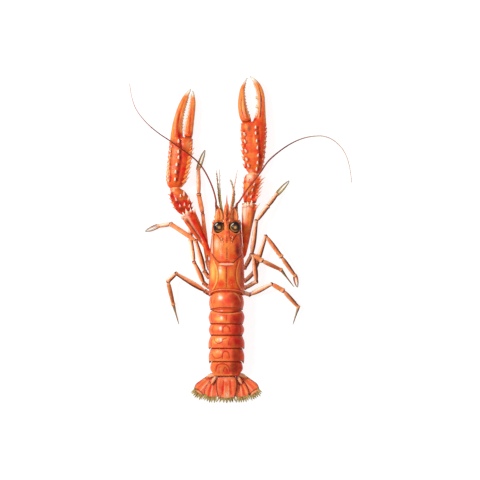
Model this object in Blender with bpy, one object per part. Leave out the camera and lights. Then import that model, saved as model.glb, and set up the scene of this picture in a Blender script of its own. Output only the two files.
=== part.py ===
"""A cooked Norway lobster lying belly down, head along +Y, one solid for each shell piece.

Sizes and places are real millimetres in the lobster's own frame. The origin is on the midline,
in the flat face that the breast plate rests on, and +Z is up.
"""

import math

import bmesh
import bpy
from mathutils import Vector

MM = 0.001
UP = Vector((0, 0, 1))
PROBE = 0.002

# How many points go round each kind of solid, and how many rings along it.
THORN_SIDES = 3
BALL_RINGS, BALL_SIDES = 7, 11
CARAPACE_RINGS, CARAPACE_SIDES = 12, 24
TAIL_RINGS_EACH, TAIL_SIDES = 5, 20
LEG_SIDES = 5

# The body's shells: where the sides stop, how far the flanks reach down, and where the belly is.
# A place round a shell runs from 0, the right flank's edge, over the top to ROOF_SHARE, then below.
SHOULDER = 10.0
ROOF_SHARE = 0.7
ROOF_POWER = 2.25
FLANK_SHARE = 35.0
FLANK_TUCK = 0.08
TAIL_TUCK = 0.02
BELLY = 6.6
TAIL_BELLY = 5.4
SHELL_LIP = 0.8
SOCKET_DEPTH = 2.2
NECK_SHRINK = 1.25
NECK_REACH = 1.6

EYE = Vector((6.0, 26.2, 18.4))
EYE_SIZE = Vector((4.3, 4.3, 3.9))
ORBIT_CLEARANCE = 0.5

BREAST_HALF_WIDTH = 6.4
BREAST_HEIGHT = 5.9
BREAST_REAR, BREAST_FRONT = -25.5, 14.0

COLOURS = {
    "shell": (0.80, 0.13, 0.03),
    "claw": (0.76, 0.09, 0.02),
    "limb": (0.78, 0.24, 0.08),
    "feeler": (0.50, 0.07, 0.03),
    "eye": (0.02, 0.014, 0.01),
    "bristle": (0.42, 0.34, 0.14),
    "belly": (0.80, 0.40, 0.20),
}
ROUGHNESS = {"eye": 0.1, "bristle": 0.8, "belly": 0.5}


def clear_scene():
    for obj in list(bpy.data.objects):
        bpy.data.objects.remove(obj)


def material(name):
    """The named finish, made once and shared."""
    if name in bpy.data.materials:
        return bpy.data.materials[name]
    made = bpy.data.materials.new(name)
    made.use_nodes = True
    shader = made.node_tree.nodes["Principled BSDF"]
    shader.inputs["Base Color"].default_value = (*COLOURS[name], 1)
    shader.inputs["Roughness"].default_value = ROUGHNESS.get(name, 0.35)
    shader.inputs["Metallic"].default_value = 0.0
    return made


def reading(rows):
    """A smooth curve through rows of numbers, read by a share from 0 to 1 along them."""
    last = len(rows) - 1

    def at(share):
        place = min(max(share, 0.0), 1.0) * last
        i = min(int(place), last - 1)
        t = place - i
        before, a, b, after = (rows[min(max(k, 0), last)] for k in (i - 1, i, i + 1, i + 2))
        return [
            0.5 * (2 * q + (r - p) * t + (2 * p - 5 * q + 4 * r - s) * t**2 + (3 * q - p - 3 * r + s) * t**3)
            for p, q, r, s in zip(before, a, b, after)
        ]

    return at


def power_of(value, power):
    return math.copysign(abs(value) ** (2 / power), value)


def tube(rows, power=2.0):
    """A surface round a route of rows (x, y, z, half width, half height), wide side level."""
    at = reading(rows)

    def surface(along, around):
        x, y, z, half_width, half_height = at(along)
        ahead = Vector(at(along + PROBE)[:3]) - Vector(at(along - PROBE)[:3])
        side = ahead.cross(UP).normalized()
        rise = side.cross(ahead).normalized()
        angle = 2 * math.pi * around
        across = max(half_width, 0) * power_of(math.cos(angle), power)
        over = max(half_height, 0) * power_of(math.sin(angle), power)
        return Vector((x, y, z)) + side * across + rise * over

    return surface


def slices(rows, power=2.4):
    """A surface of upright slices, from rows (y, left edge, right edge, low, high)."""
    at = reading(rows)

    def surface(along, around):
        y, left, right, low, high = at(along)
        angle = 2 * math.pi * around
        x = (left + right) / 2 + (right - left) / 2 * power_of(math.cos(angle), power)
        z = (low + high) / 2 + (high - low) / 2 * power_of(math.sin(angle), power)
        return Vector((x, y, z))

    return surface


def shell_point(row, around, belly, tuck=FLANK_TUCK):
    """A point of an arched shell with hanging flanks, from row (y, half width, top, edge, sweep, tip)."""
    y, half, top, edge, sweep, tip = row
    if around > ROOF_SHARE:
        turn = math.pi * (around - ROOF_SHARE) / (1 - ROOF_SHARE)
        risen = min(1.0, 2.2 * math.sin(turn))
        x = (tuck - 1) * half * math.cos(turn)
        return Vector((x, y + sweep + tip * (1 - risen), edge + (belly - edge) * risen))
    angle = -FLANK_SHARE + (180 + 2 * FLANK_SHARE) * around / ROOF_SHARE
    below = max(-angle, angle - 180) / FLANK_SHARE
    if below > 0:
        side = 1 if angle < 0 else -1
        return Vector((
            side * half * (1 - tuck * below**2),
            y + sweep + tip * below,
            SHOULDER - (SHOULDER - edge) * below,
        ))
    x = half * power_of(math.cos(math.radians(angle)), ROOF_POWER)
    share = abs(math.sin(math.radians(angle))) ** (2 / ROOF_POWER)
    return Vector((x, y + sweep * (1 - share), SHOULDER + (top - SHOULDER) * share))


def mesh_object(name, points, faces, finish):
    mesh = bpy.data.meshes.new(name)
    mesh.from_pydata([Vector(p) * MM for p in points], [], faces)
    made = bmesh.new()
    made.from_mesh(mesh)
    bmesh.ops.recalc_face_normals(made, faces=made.faces)
    made.to_mesh(mesh)
    made.free()
    mesh.materials.append(material(finish))
    mesh.shade_smooth()
    obj = bpy.data.objects.new(name, mesh)
    bpy.context.scene.collection.objects.link(obj)
    return obj


def skin(name, rings, finish):
    """One closed solid through rings of points, each end closed at its middle."""
    sides = len(rings[0])
    points = [p for ring in rings for p in ring]
    faces = []
    for i in range(len(rings) - 1):
        for j in range(sides):
            a, b = i * sides + j, i * sides + (j + 1) % sides
            faces.append((a, b, b + sides, a + sides))
    for first, ring in ((0, rings[0]), ((len(rings) - 1) * sides, rings[-1])):
        points.append(sum(ring, Vector()) / sides)
        middle = len(points) - 1
        faces += [(first + j, first + (j + 1) % sides, middle) for j in range(sides)]
    return mesh_object(name, points, faces, finish)


def rings_of(surface, count, sides):
    return [[surface(i / (count - 1), j / sides) for j in range(sides)] for i in range(count)]


def solid(name, surface, count, sides, finish):
    return skin(name, rings_of(surface, count, sides), finish)


def thorn(surface, along, around, length, radius, lean, finish):
    """A cone that stands on a surface and leans the way that the surface runs."""
    root = surface(along, around)
    ahead = (surface(min(along + PROBE, 1), around) - surface(max(along - PROBE, 0), around)).normalized()
    beside = surface(along, around + PROBE) - surface(along, around - PROBE)
    out = beside.cross(ahead).normalized()
    middle = surface(along, around + 0.5)
    if out.dot(root - middle) < 0:
        out = -out
    way = (out + ahead * lean).normalized()
    across = way.cross(ahead).normalized()
    other = way.cross(across)
    buried = root - way * radius
    ring = []
    for k in range(THORN_SIDES):
        turn = 2 * math.pi * k / THORN_SIDES
        ring.append(buried + (across * math.cos(turn) + other * math.sin(turn)) * radius)
    tip = root + way * length
    faces = [(k, (k + 1) % THORN_SIDES, THORN_SIDES) for k in range(THORN_SIDES)]
    faces.append(tuple(range(THORN_SIDES)))
    return mesh_object("thorn", [*ring, tip], faces, finish)


def thorn_row(surface, start, end, count, length, radius, lean, finish):
    """Thorns spaced evenly between two places (along, around) of a surface."""
    made = []
    for k in range(count):
        t = k / max(count - 1, 1)
        along = start[0] + (end[0] - start[0]) * t
        around = start[1] + (end[1] - start[1]) * t
        made.append(thorn(surface, along, around, length, radius, lean, finish))
    return made


def combine(base, others, operation="UNION"):
    """Joins the others to the base, or cuts them from it, and applies the result."""
    helpers = bpy.data.collections.new("helpers")
    for other in others:
        helpers.objects.link(other)
    cut = base.modifiers.new("combine", "BOOLEAN")
    cut.operation = operation
    cut.operand_type = "COLLECTION"
    cut.collection = helpers
    cut.solver = "EXACT"
    bpy.context.view_layer.update()
    graph = bpy.context.evaluated_depsgraph_get()
    applied = bpy.data.meshes.new_from_object(base.evaluated_get(graph))
    base.modifiers.clear()
    base.data = applied
    for other in others:
        bpy.data.objects.remove(other)
    bpy.data.collections.remove(helpers)
    return base


def ball(name, centre, size, finish):
    """An egg-shaped solid of the given half sizes."""
    rows = []
    for i in range(1, BALL_RINGS):
        tilt = math.pi * i / BALL_RINGS
        rows.append([
            centre + Vector((
                size.x * math.sin(tilt) * math.cos(2 * math.pi * j / BALL_SIDES),
                size.y * math.sin(tilt) * math.sin(2 * math.pi * j / BALL_SIDES),
                size.z * math.cos(tilt),
            ))
            for j in range(BALL_SIDES)
        ])
    return skin(name, rows, finish)


def mirrored(rows):
    """The same route on the other side of the midline."""
    return [(-row[0], *row[1:]) for row in rows]


# The carapace: (y, half width, top, edge, sweep, tip) from its rear rim to the face under the beak.
CARAPACE_ROWS = [
    (-21.2, 12.4, 21.4, 5.8, -3.8, 0.0),
    (-15.5, 12.9, 22.8, 5.4, -3.4, 0.0),
    (-6.0, 13.0, 24.4, 5.3, -2.2, 0.0),
    (1.0, 12.7, 25.0, 5.3, -1.0, 0.0),
    (9.0, 12.1, 24.6, 5.4, 0.0, 0.0),
    (17.0, 11.3, 23.2, 5.8, 0.0, 0.0),
    (24.0, 10.7, 21.0, 6.2, 0.0, 0.0),
    (28.5, 10.3, 17.6, 6.3, 0.0, 0.0),
    (31.0, 9.4, 13.6, 6.5, 0.0, 0.0),
]
BEAK_ROWS = [
    (0.0, 10.0, 22.2, 1.6, 1.6),
    (0.0, 19.0, 22.0, 2.3, 1.6),
    (0.0, 26.0, 20.8, 1.6, 1.4),
    (0.0, 34.0, 20.4, 1.8, 1.2),
    (0.0, 40.4, 20.8, 1.5, 1.0),
    (0.0, 44.4, 21.2, 0.6, 0.6),
    (0.0, 50.4, 22.0, 0.12, 0.12),
]
# The carapace's thorns: (along, around from the midline, length, radius, lean), on both sides.
CARAPACE_THORNS = [
    (0.74, 0.075, 2.0, 0.7, 1.6),
    (0.70, 0.15, 1.7, 0.7, 1.6),
    (0.92, 0.2, 2.2, 0.7, 1.6),
    (0.93, 0.27, 2.6, 0.9, 2.2),
]


def socket_rings(row, belly, sides):
    """The inner rings of a shell's open rear: the lip, then the hollow that takes its neighbour."""
    y, half, top, _, sweep, _ = row
    lip = (y, half - SHELL_LIP, top - SHELL_LIP, belly, sweep, 0.0)
    deep = (y + SOCKET_DEPTH, half - SHELL_LIP, top - SHELL_LIP, belly, sweep, 0.0)
    return [[shell_point(r, j / sides, belly) for j in range(sides)] for r in (lip, deep)]


def build_carapace():
    at = reading(CARAPACE_ROWS)

    def surface(along, around):
        return shell_point(at(along), around, BELLY)

    rings = socket_rings(CARAPACE_ROWS[0], BELLY + 0.2, CARAPACE_SIDES)[::-1]
    rings += rings_of(surface, CARAPACE_RINGS, CARAPACE_SIDES)
    carapace = skin("carapace", rings, "shell")
    beak = tube(BEAK_ROWS)
    parts = [solid("beak", beak, 10, 8, "shell")]
    for side in (0.0, 0.5):
        parts += thorn_row(beak, (0.42, side), (0.76, side), 3, 1.5, 0.55, 1.2, "shell")
    for mirror in (1, -1):
        for along, around, length, radius, lean in CARAPACE_THORNS:
            place = ROOF_SHARE / 2 + mirror * around
            parts.append(thorn(surface, along, place, length, radius, lean, "shell"))
    combine(carapace, parts)
    socket = EYE_SIZE + Vector((1, 1, 1)) * ORBIT_CLEARANCE
    orbits = [ball("orbit", Vector((side * EYE.x, EYE.y, EYE.z)), socket, "shell") for side in (1, -1)]
    combine(carapace, orbits, "DIFFERENCE")


def build_eyes():
    for name, side in (("eye_left", -1), ("eye_right", 1)):
        ball(name, Vector((side * EYE.x, EYE.y, EYE.z)), EYE_SIZE, "eye")


# The tail's rings: for each (front, rear, front half, widest half, rear half, front top, rear top,
# front sweep, rear sweep, flank edge, flank tip).
TAIL_RINGS = {
    "tail_ring_1": (-22.4, -34.0, 12.1, 12.8, 12.0, 20.4, 20.4, -3.6, -1.8, 4.2, 0.0),
    "tail_ring_2": (-35.2, -46.0, 12.0, 13.2, 12.2, 20.0, 19.9, -1.6, 0.0, 0.8, -0.5),
    "tail_ring_3": (-46.6, -54.6, 11.8, 13.0, 11.9, 19.4, 19.2, 0.0, 0.0, 0.6, -0.6),
    "tail_ring_4": (-55.2, -64.4, 11.7, 13.1, 13.3, 18.7, 18.2, 0.0, 0.0, 0.5, -1.3),
    "tail_ring_5": (-65.0, -74.4, 11.8, 13.0, 13.0, 17.6, 16.6, 0.0, 0.0, 0.4, -2.2),
    "tail_ring_6": (-75.0, -85.4, 11.2, 11.9, 8.3, 16.0, 10.6, 0.0, 0.0, 1.0, 0.0),
}


def ring_rows(front, rear, wide, widest, narrow, high, low, front_sweep, rear_sweep, edge, tip):
    """The outer rows of one tail ring, from its front shoulder to its rear rim."""
    length = rear - front
    crown, sweep = (high + low) / 2 + 0.5, (front_sweep + rear_sweep) / 2
    return [
        (front, wide - 0.5, high - 0.5, edge + 3.6, front_sweep, 0.0),
        (front + 0.12 * length, wide + 0.1, high, edge + 2.0, front_sweep * 0.9, tip * 0.1),
        (front + 0.5 * length, widest, crown, edge, sweep, tip * 0.5),
        (front + 0.86 * length, (widest + 2 * narrow) / 3, low + 0.2, edge + 0.3, rear_sweep, tip * 0.9),
        (rear, narrow, low, edge + 0.8, rear_sweep, tip),
    ]


def build_tail_ring(name, sizes):
    rows = ring_rows(*sizes)
    at = reading(rows)
    front = rows[0]
    neck_half, neck_top = front[1] + 0.5 - NECK_SHRINK, front[2] + 0.5 - NECK_SHRINK
    neck = [
        (front[0] + NECK_REACH, neck_half, neck_top, BELLY + 0.4, front[4], 0.0),
        (front[0] - 0.1, neck_half, neck_top, BELLY + 0.4, front[4], 0.0),
    ]
    rings = [[shell_point(r, j / TAIL_SIDES, BELLY + 0.4) for j in range(TAIL_SIDES)] for r in neck]

    def surface(along, around):
        return shell_point(at(along), around, TAIL_BELLY, TAIL_TUCK)

    rings += rings_of(surface, TAIL_RINGS_EACH, TAIL_SIDES)
    if name != "tail_ring_6":
        rings += socket_rings(rows[-1], BELLY, TAIL_SIDES)
    skin(name, rings, "shell")


# The fan: routes (x, y, z, half width, half thickness) from each blade's root to its hem.
TELSON_ROWS = [
    (0.0, -86.2, 6.2, 6.6, 1.9),
    (0.0, -88.0, 6.0, 7.6, 2.1),
    (0.0, -92.0, 5.4, 8.1, 1.8),
    (0.0, -97.5, 4.4, 7.5, 1.2),
    (0.0, -101.6, 3.7, 6.2, 0.6),
]
INNER_BLADE_ROWS = [
    (8.6, -86.6, 2.2, 1.5, 1.0),
    (9.6, -89.5, 2.2, 2.9, 0.9),
    (11.0, -94.5, 2.1, 4.4, 0.65),
    (11.8, -98.5, 2.1, 5.3, 0.6),
    (12.2, -101.4, 2.1, 4.6, 0.45),
]
OUTER_BLADE_ROWS = [
    (10.4, -85.0, 0.7, 1.5, 0.45),
    (13.4, -88.2, 0.65, 2.9, 0.5),
    (16.3, -91.8, 0.65, 4.3, 0.5),
    (18.9, -95.2, 0.6, 5.4, 0.45),
    (21.4, -98.7, 0.6, 4.1, 0.4),
]
# The two lobes that carry the blades of one side: the outer one, then the one over the inner blade.
FAN_ROOT_ROWS = [
    [
        (10.3, -84.7, 3.3, 0.8, 0.8),
        (11.6, -85.0, 3.0, 1.2, 1.1),
        (13.2, -85.6, 2.7, 1.2, 1.0),
        (15.0, -86.6, 2.3, 0.5, 0.6),
    ],
    [
        (10.3, -84.6, 4.1, 0.8, 0.6),
        (10.0, -87.0, 4.5, 1.3, 0.8),
        (10.4, -89.2, 4.4, 1.4, 0.8),
        (11.4, -91.6, 3.9, 0.6, 0.4),
    ],
]
HEMS = {
    "bristles_telson": ([(-6.4, -102.2), (0.0, -103.2), (6.4, -102.2)], (0.0, -90.0), 3.2, 3.0, 7),
    "bristles_inner": ([(17.0, -100.9), (12.6, -103.2), (7.6, -102.8)], (10.5, -90.0), 2.8, 1.7, 6),
    "bristles_outer": ([(25.0, -96.2), (22.5, -99.8), (17.9, -101.5)], (14.0, -88.0), 2.9, 0.2, 6),
}
HEM_THICKNESS = 0.8
# A swimmeret, which hangs under its ring, with y counted from the ring's rear rim.
SWIMMERET_ROWS = [
    (5.0, 6.8, 4.5, 0.8, 0.5),
    (6.0, 5.0, 3.6, 1.5, 0.4),
    (6.9, 2.4, 2.4, 1.9, 0.35),
    (7.2, -0.2, 1.4, 0.9, 0.3),
]


def bristle_comb(name, line, root, depth, low, teeth):
    """A thin comb past a blade's hem, its teeth pointing away from the blade's root."""
    at = reading(line)
    inner, outer = [], []
    for k in range(2 * teeth + 1):
        x, y = at(k / (2 * teeth))
        way = (Vector((x, y)) - Vector(root)).normalized()
        reach = depth if k % 2 else depth * 0.55
        inner.append((x, y))
        outer.append((x + way.x * reach, y + way.y * reach))
    outline = inner + outer[::-1]
    count = len(outline)
    points = [(x, y, z) for z in (low, low + HEM_THICKNESS) for x, y in outline]
    faces = []
    for k in range(len(inner) - 1):
        a, b, c, d = k, k + 1, count - 2 - k, count - 1 - k
        faces += [(a, b, c, d), (d + count, c + count, b + count, a + count)]
    faces += [(k, (k + 1) % count, (k + 1) % count + count, k + count) for k in range(count)]
    return mesh_object(name, points, faces, "bristle")


def build_fan():
    solid("telson", tube(TELSON_ROWS, 2.6), 8, 16, "shell")
    comb, root, depth, low, teeth = HEMS["bristles_telson"]
    bristle_comb("bristles_telson", comb, root, depth, low, teeth)
    for side, sign in (("right", 1), ("left", -1)):
        for blade, rows in (("inner", INNER_BLADE_ROWS), ("outer", OUTER_BLADE_ROWS)):
            route = rows if sign > 0 else mirrored(rows)
            solid(f"fan_{blade}_{side}", tube(route, 2.4), 8, 12, "shell")
            comb, root, depth, low, teeth = HEMS[f"bristles_{blade}"]
            line = [(sign * x, y) for x, y in comb]
            bristle_comb(f"bristles_{blade}_{side}", line, (sign * root[0], root[1]), depth, low, teeth)
        lobes = [tube(rows if sign > 0 else mirrored(rows)) for rows in FAN_ROOT_ROWS]
        outer, inner = (solid(f"fan_root_{side}", lobe, 5, 6, "shell") for lobe in lobes)
        combine(outer, [inner])


# The arm next to the palm, from the breast plate outwards: (x, y, z, half width, half height).
ARM_ROWS = {
    "left": [
        (-7.8, 1.2, 3.2, 1.5, 1.3),
        (-12.6, 5.2, 3.4, 1.4, 1.3),
        (-14.0, 8.8, 5.2, 1.8, 1.5),
        (-15.8, 12.6, 6.4, 2.3, 1.9),
        (-18.6, 17.8, 7.0, 3.3, 2.8),
        (-22.6, 24.8, 7.8, 4.4, 3.8),
        (-26.6, 32.0, 8.2, 5.4, 4.6),
        (-28.8, 36.2, 8.4, 5.6, 4.8),
    ],
    "right": [
        (7.8, 1.2, 3.2, 1.5, 1.3),
        (12.6, 4.4, 3.4, 1.4, 1.3),
        (14.0, 9.5, 4.2, 1.7, 1.5),
        (14.6, 17.0, 6.6, 2.7, 2.5),
        (15.2, 26.0, 7.8, 3.9, 3.6),
        (16.3, 35.0, 8.2, 4.9, 4.4),
        (17.4, 43.2, 8.4, 5.9, 4.8),
    ],
}
WRIST_ROWS = {
    "left": [
        (-29.5, 37.6, 8.2, 4.2, 3.8),
        (-31.8, 41.0, 8.0, 6.2, 5.0),
        (-34.6, 46.4, 7.8, 6.6, 5.6),
        (-37.2, 51.0, 7.4, 5.8, 5.0),
        (-38.4, 53.6, 7.0, 4.0, 3.6),
    ],
    "right": [
        (17.6, 44.8, 8.2, 4.7, 3.8),
        (17.8, 48.6, 8.0, 5.4, 5.2),
        (18.5, 55.0, 7.8, 5.9, 5.8),
        (19.3, 61.4, 7.4, 6.4, 5.2),
        (19.8, 64.8, 7.0, 5.4, 3.6),
    ],
}
# Palms, fixed fingers and moving fingers: (y, left edge, right edge, low, high).
PALM_ROWS = {
    "left": [
        (55.6, -42.8, -35.6, 3.6, 9.6),
        (58.0, -44.4, -33.4, 1.8, 11.6),
        (63.0, -45.2, -30.0, 0.5, 13.4),
        (72.0, -44.6, -27.6, 0.0, 14.0),
        (84.0, -43.4, -25.8, 0.2, 13.4),
        (92.8, -42.4, -25.4, 0.8, 12.2),
    ],
    "right": [
        (66.3, 17.0, 23.8, 3.8, 9.4),
        (69.4, 14.6, 26.4, 1.8, 11.4),
        (76.0, 13.2, 28.2, 0.4, 13.6),
        (86.0, 11.8, 29.4, 0.0, 14.2),
        (96.0, 10.8, 30.0, 0.2, 13.6),
        (104.2, 10.8, 29.8, 0.8, 12.2),
    ],
}
FIXED_FINGER_ROWS = {
    "left": [
        (84.0, -42.2, -33.0, 1.6, 12.0),
        (95.0, -41.9, -32.9, 1.4, 11.0),
        (104.0, -40.4, -33.0, 1.8, 10.0),
        (112.0, -38.2, -31.8, 2.2, 9.0),
        (119.0, -35.6, -30.0, 2.8, 8.2),
        (125.0, -32.2, -28.2, 3.6, 7.2),
        (128.6, -28.9, -26.9, 4.4, 6.4),
        (130.0, -27.2, -26.5, 5.0, 5.8),
    ],
    "right": [
        (95.0, 20.6, 29.6, 1.6, 12.0),
        (106.5, 20.4, 29.6, 1.4, 11.0),
        (113.0, 22.6, 29.2, 1.8, 10.0),
        (121.0, 23.0, 28.9, 2.2, 9.2),
        (128.0, 22.4, 27.8, 2.8, 8.4),
        (134.0, 20.4, 25.0, 3.6, 7.4),
        (138.0, 18.4, 21.0, 4.4, 6.4),
        (139.6, 17.4, 18.3, 5.0, 5.8),
    ],
}
MOVING_FINGER_ROWS = {
    "left": [
        (93.4, -31.0, -26.0, 2.6, 10.2),
        (97.0, -32.0, -25.2, 1.8, 10.6),
        (105.0, -30.9, -24.4, 2.2, 9.8),
        (113.0, -28.8, -23.6, 2.6, 9.0),
        (120.0, -27.4, -23.3, 3.2, 8.2),
        (125.0, -26.6, -24.0, 3.8, 7.2),
        (128.4, -25.8, -25.0, 4.8, 6.0),
    ],
    "right": [
        (104.8, 11.6, 18.6, 2.6, 10.2),
        (108.5, 9.9, 18.0, 1.8, 10.6),
        (115.0, 8.7, 15.6, 2.2, 9.8),
        (122.0, 8.8, 14.2, 2.6, 9.0),
        (129.0, 10.0, 13.6, 3.2, 8.2),
        (134.0, 12.2, 14.4, 3.8, 7.2),
        (138.0, 15.0, 15.8, 4.8, 6.0),
    ],
}
# Rows of thorns on each palm: (start, end, count, length, radius, lean), places as (along, around).
PALM_THORNS = {
    "left": [
        ((0.25, 0.29), (0.97, 0.28), 7, 1.1, 0.75, 0.5),
        ((0.15, 0.44), (0.80, 0.43), 6, 0.8, 0.6, 0.5),
        ((0.22, 0.03), (0.90, 0.02), 7, 2.4, 0.85, 1.4),
    ],
    "right": [
        ((0.15, 0.37), (0.88, 0.39), 6, 1.3, 0.85, 0.5),
        ((0.15, 0.21), (0.95, 0.21), 7, 1.1, 0.75, 0.5),
        ((0.22, 0.48), (0.93, 0.48), 6, 2.2, 0.85, 1.2),
        ((0.25, 0.02), (0.98, 0.02), 5, 0.8, 0.6, 0.8),
    ],
}
WRIST_THORNS = {
    "left": [
        ((0.25, 0.0), (0.76, 0.0), 3, 2.8, 0.9, 1.6),
        ((0.25, 0.5), (0.76, 0.5), 4, 2.8, 0.9, 1.2),
        ((0.40, 0.12), (0.80, 0.16), 3, 2.6, 0.9, 1.6),
        ((0.22, 0.32), (0.72, 0.32), 3, 1.4, 0.8, 0.9),
    ],
    "right": [
        ((0.28, 0.02), (0.80, 0.02), 4, 3.8, 0.95, 1.2),
        ((0.25, 0.5), (0.80, 0.5), 4, 1.8, 0.7, 1.2),
        ((0.30, 0.18), (0.80, 0.18), 3, 1.6, 0.8, 0.9),
        ((0.22, 0.32), (0.72, 0.32), 3, 1.4, 0.8, 0.9),
    ],
}
ARM_RIM_THORNS = (0.0, 0.12, 0.26, 0.38, 0.5)
# Which side of each finger bites: the surface place that faces the other finger.
BITE = {"left": (0.0, 0.5), "right": (0.5, 0.0)}
# The fixed finger's teeth, as runs of (first place along, last place along, count, length, radius).
FIXED_TEETH = {
    "left": [(0.36, 0.84, 6, 0.65, 0.8)],
    "right": [(0.34, 0.38, 2, 1.3, 1.3), (0.47, 0.51, 2, 1.3, 1.2), (0.58, 0.84, 4, 0.6, 0.75)],
}
MOVING_TEETH = (0.25, 0.8, 6, 0.6, 0.7)


def teeth(finger, bite, first, last, count, length, radius):
    """Upright teeth in a run along the biting side of a finger."""
    return thorn_row(finger, (first, bite), (last, bite), count, length, radius, 0.0, "claw")


def build_claw(side):
    arm = tube(ARM_ROWS[side], 2.2)
    arm_solid = solid(f"arm_{side}", arm, 8, 12, "claw")
    rim = [thorn(arm, 0.95, around, 2.4, 0.9, 3.0, "claw") for around in ARM_RIM_THORNS]
    combine(arm_solid, rim)

    wrist = tube(WRIST_ROWS[side], 2.3)
    wrist_solid = solid(f"wrist_{side}", wrist, 8, 12, "claw")
    thorns = []
    for row in WRIST_THORNS[side]:
        thorns += thorn_row(wrist, *row, "claw")
    combine(wrist_solid, thorns)

    palm = slices(PALM_ROWS[side], 2.3)
    palm_solid = solid(f"palm_{side}", palm, 7, 14, "claw")
    finger = slices(FIXED_FINGER_ROWS[side])
    parts = [solid("finger", finger, 11, 8, "claw")]
    for row in PALM_THORNS[side]:
        parts += thorn_row(palm, *row, "claw")
    fixed_bite, moving_bite = BITE[side]
    for run in FIXED_TEETH[side]:
        parts += teeth(finger, fixed_bite, *run)
    combine(palm_solid, parts)

    thumb = slices(MOVING_FINGER_ROWS[side])
    thumb_solid = solid(f"thumb_{side}", thumb, 11, 8, "claw")
    combine(thumb_solid, teeth(thumb, moving_bite, *MOVING_TEETH))


# Walking legs: joints (x, y, z) from the breast plate to the toe. Pairs 2 and 3 end in small pincers.
LEG_JOINTS = {
    "leg_2_left": [(-7.8, -6.3, 3.2), (-13.2, -4.5, 2.5), (-14.6, 0.4, 1.7), (-17.8, 35.5, 4.2),
                   (-20.9, 51.0, 6.0), (-21.2, 70.5, 3.4), (-16.3, 84.0, 1.2)],
    "leg_3_left": [(-7.8, -12.0, 3.2), (-14.0, -11.0, 3.1), (-16.5, -7.0, 4.5), (-23.0, 16.0, 9.4),
                   (-42.0, 28.5, 7.0), (-51.5, 27.0, 3.8), (-61.0, 23.0, 1.2)],
    "leg_4_left": [(-7.8, -17.7, 3.2), (-14.0, -18.5, 3.1), (-17.0, -16.0, 4.5), (-24.5, 0.0, 8.0),
                   (-27.0, 16.5, 4.2), (-27.2, 29.0, 1.6), (-28.6, 40.0, 0.8)],
    "leg_5_left": [(-7.8, -23.2, 3.2), (-13.0, -24.0, 3.1), (-16.0, -22.0, 4.5), (-38.0, -8.5, 11.0),
                   (-44.0, -14.5, 9.5), (-40.0, -32.0, 3.6), (-36.0, -46.5, 0.6)],
    "leg_2_right": [(7.8, -6.3, 3.2), (14.0, -4.0, 3.1), (19.0, 5.5, 5.5), (22.4, 31.0, 10.4),
                    (31.0, 42.0, 8.0), (38.0, 51.0, 4.6), (47.0, 61.0, 1.2)],
    "leg_3_right": [(7.8, -12.0, 3.2), (14.5, -14.0, 3.1), (20.5, -8.0, 3.8), (29.5, 19.5, 11.0),
                    (41.0, 4.0, 8.0), (51.5, -10.5, 3.8), (53.2, -19.0, 1.0)],
    "leg_4_right": [(7.8, -17.7, 3.2), (14.5, -19.3, 3.2), (22.5, -14.5, 6.5), (20.0, 5.5, 11.5),
                    (26.5, 1.0, 10.6), (41.0, -6.0, 6.0), (50.4, -18.4, 0.9)],
    "leg_5_right": [(7.8, -23.2, 3.2), (13.0, -23.2, 3.1), (17.5, -24.5, 4.5), (34.0, -16.5, 10.0),
                    (42.5, -21.5, 8.6), (54.0, -34.0, 4.2), (50.0, -46.5, 0.6)],
}
# Half widths at the root, the middle and the end of each stretch of a leg.
LEG_STRETCHES = [(1.2, 1.6, 1.5), (1.3, 1.45, 1.4), (1.3, 1.8, 1.2), (1.15, 1.55, 1.5), (1.25, 1.5, 1.2),
                 (1.0, 0.6, 0.25)]
STRETCH_OVERLAP = 0.45
PINCERS = ("leg_2_left", "leg_3_left", "leg_2_right", "leg_3_right")
# One finger of a small pincer: (share of the way to the tip, distance from the middle, radius).
PINCER_FINGER = [(-0.08, 0.4, 0.75), (0.18, 0.85, 0.85), (0.45, 0.95, 0.75), (0.75, 0.65, 0.55),
                 (1.0, 0.2, 0.2)]


def stretch(start, end, first, middle, last):
    """One straight stretch of a leg, widest near its middle and rounded at its end."""
    start, end = Vector(start), Vector(end)
    way = (end - start).normalized()
    start, end = start - way * STRETCH_OVERLAP, end + way * STRETCH_OVERLAP
    shape = ((0.0, first), (0.4, middle), (0.9, last), (1.0, last * 0.6))
    rows = [(*(start.lerp(end, share)), radius, radius * 0.85) for share, radius in shape]
    side = way.cross(UP).normalized()
    rise = side.cross(way)
    rings = []
    for x, y, z, wide, tall in rows:
        rings.append([
            Vector((x, y, z))
            + side * wide * math.cos(2 * math.pi * j / LEG_SIDES)
            + rise * tall * math.sin(2 * math.pi * j / LEG_SIDES)
            for j in range(LEG_SIDES)
        ])
    return skin("stretch", rings, "limb")


def build_leg(name, joints):
    pieces = []
    for k, widths in enumerate(LEG_STRETCHES[:-1]):
        pieces.append(stretch(joints[k], joints[k + 1], *widths))
    palm_end, toe = Vector(joints[-2]), Vector(joints[-1])
    if name in PINCERS:
        beside = (toe - palm_end).cross(UP).normalized()
        for sign in (1, -1):
            rows = [
                (*(palm_end.lerp(toe, share) + beside * sign * away), radius, radius)
                for share, away, radius in PINCER_FINGER
            ]
            pieces.append(solid("finger", tube(rows), 5, 6, "limb"))
    else:
        pieces.append(stretch(palm_end, toe, *LEG_STRETCHES[-1]))
    leg = pieces[0]
    leg.name = name
    leg.data.name = name
    combine(leg, pieces[1:])


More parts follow.
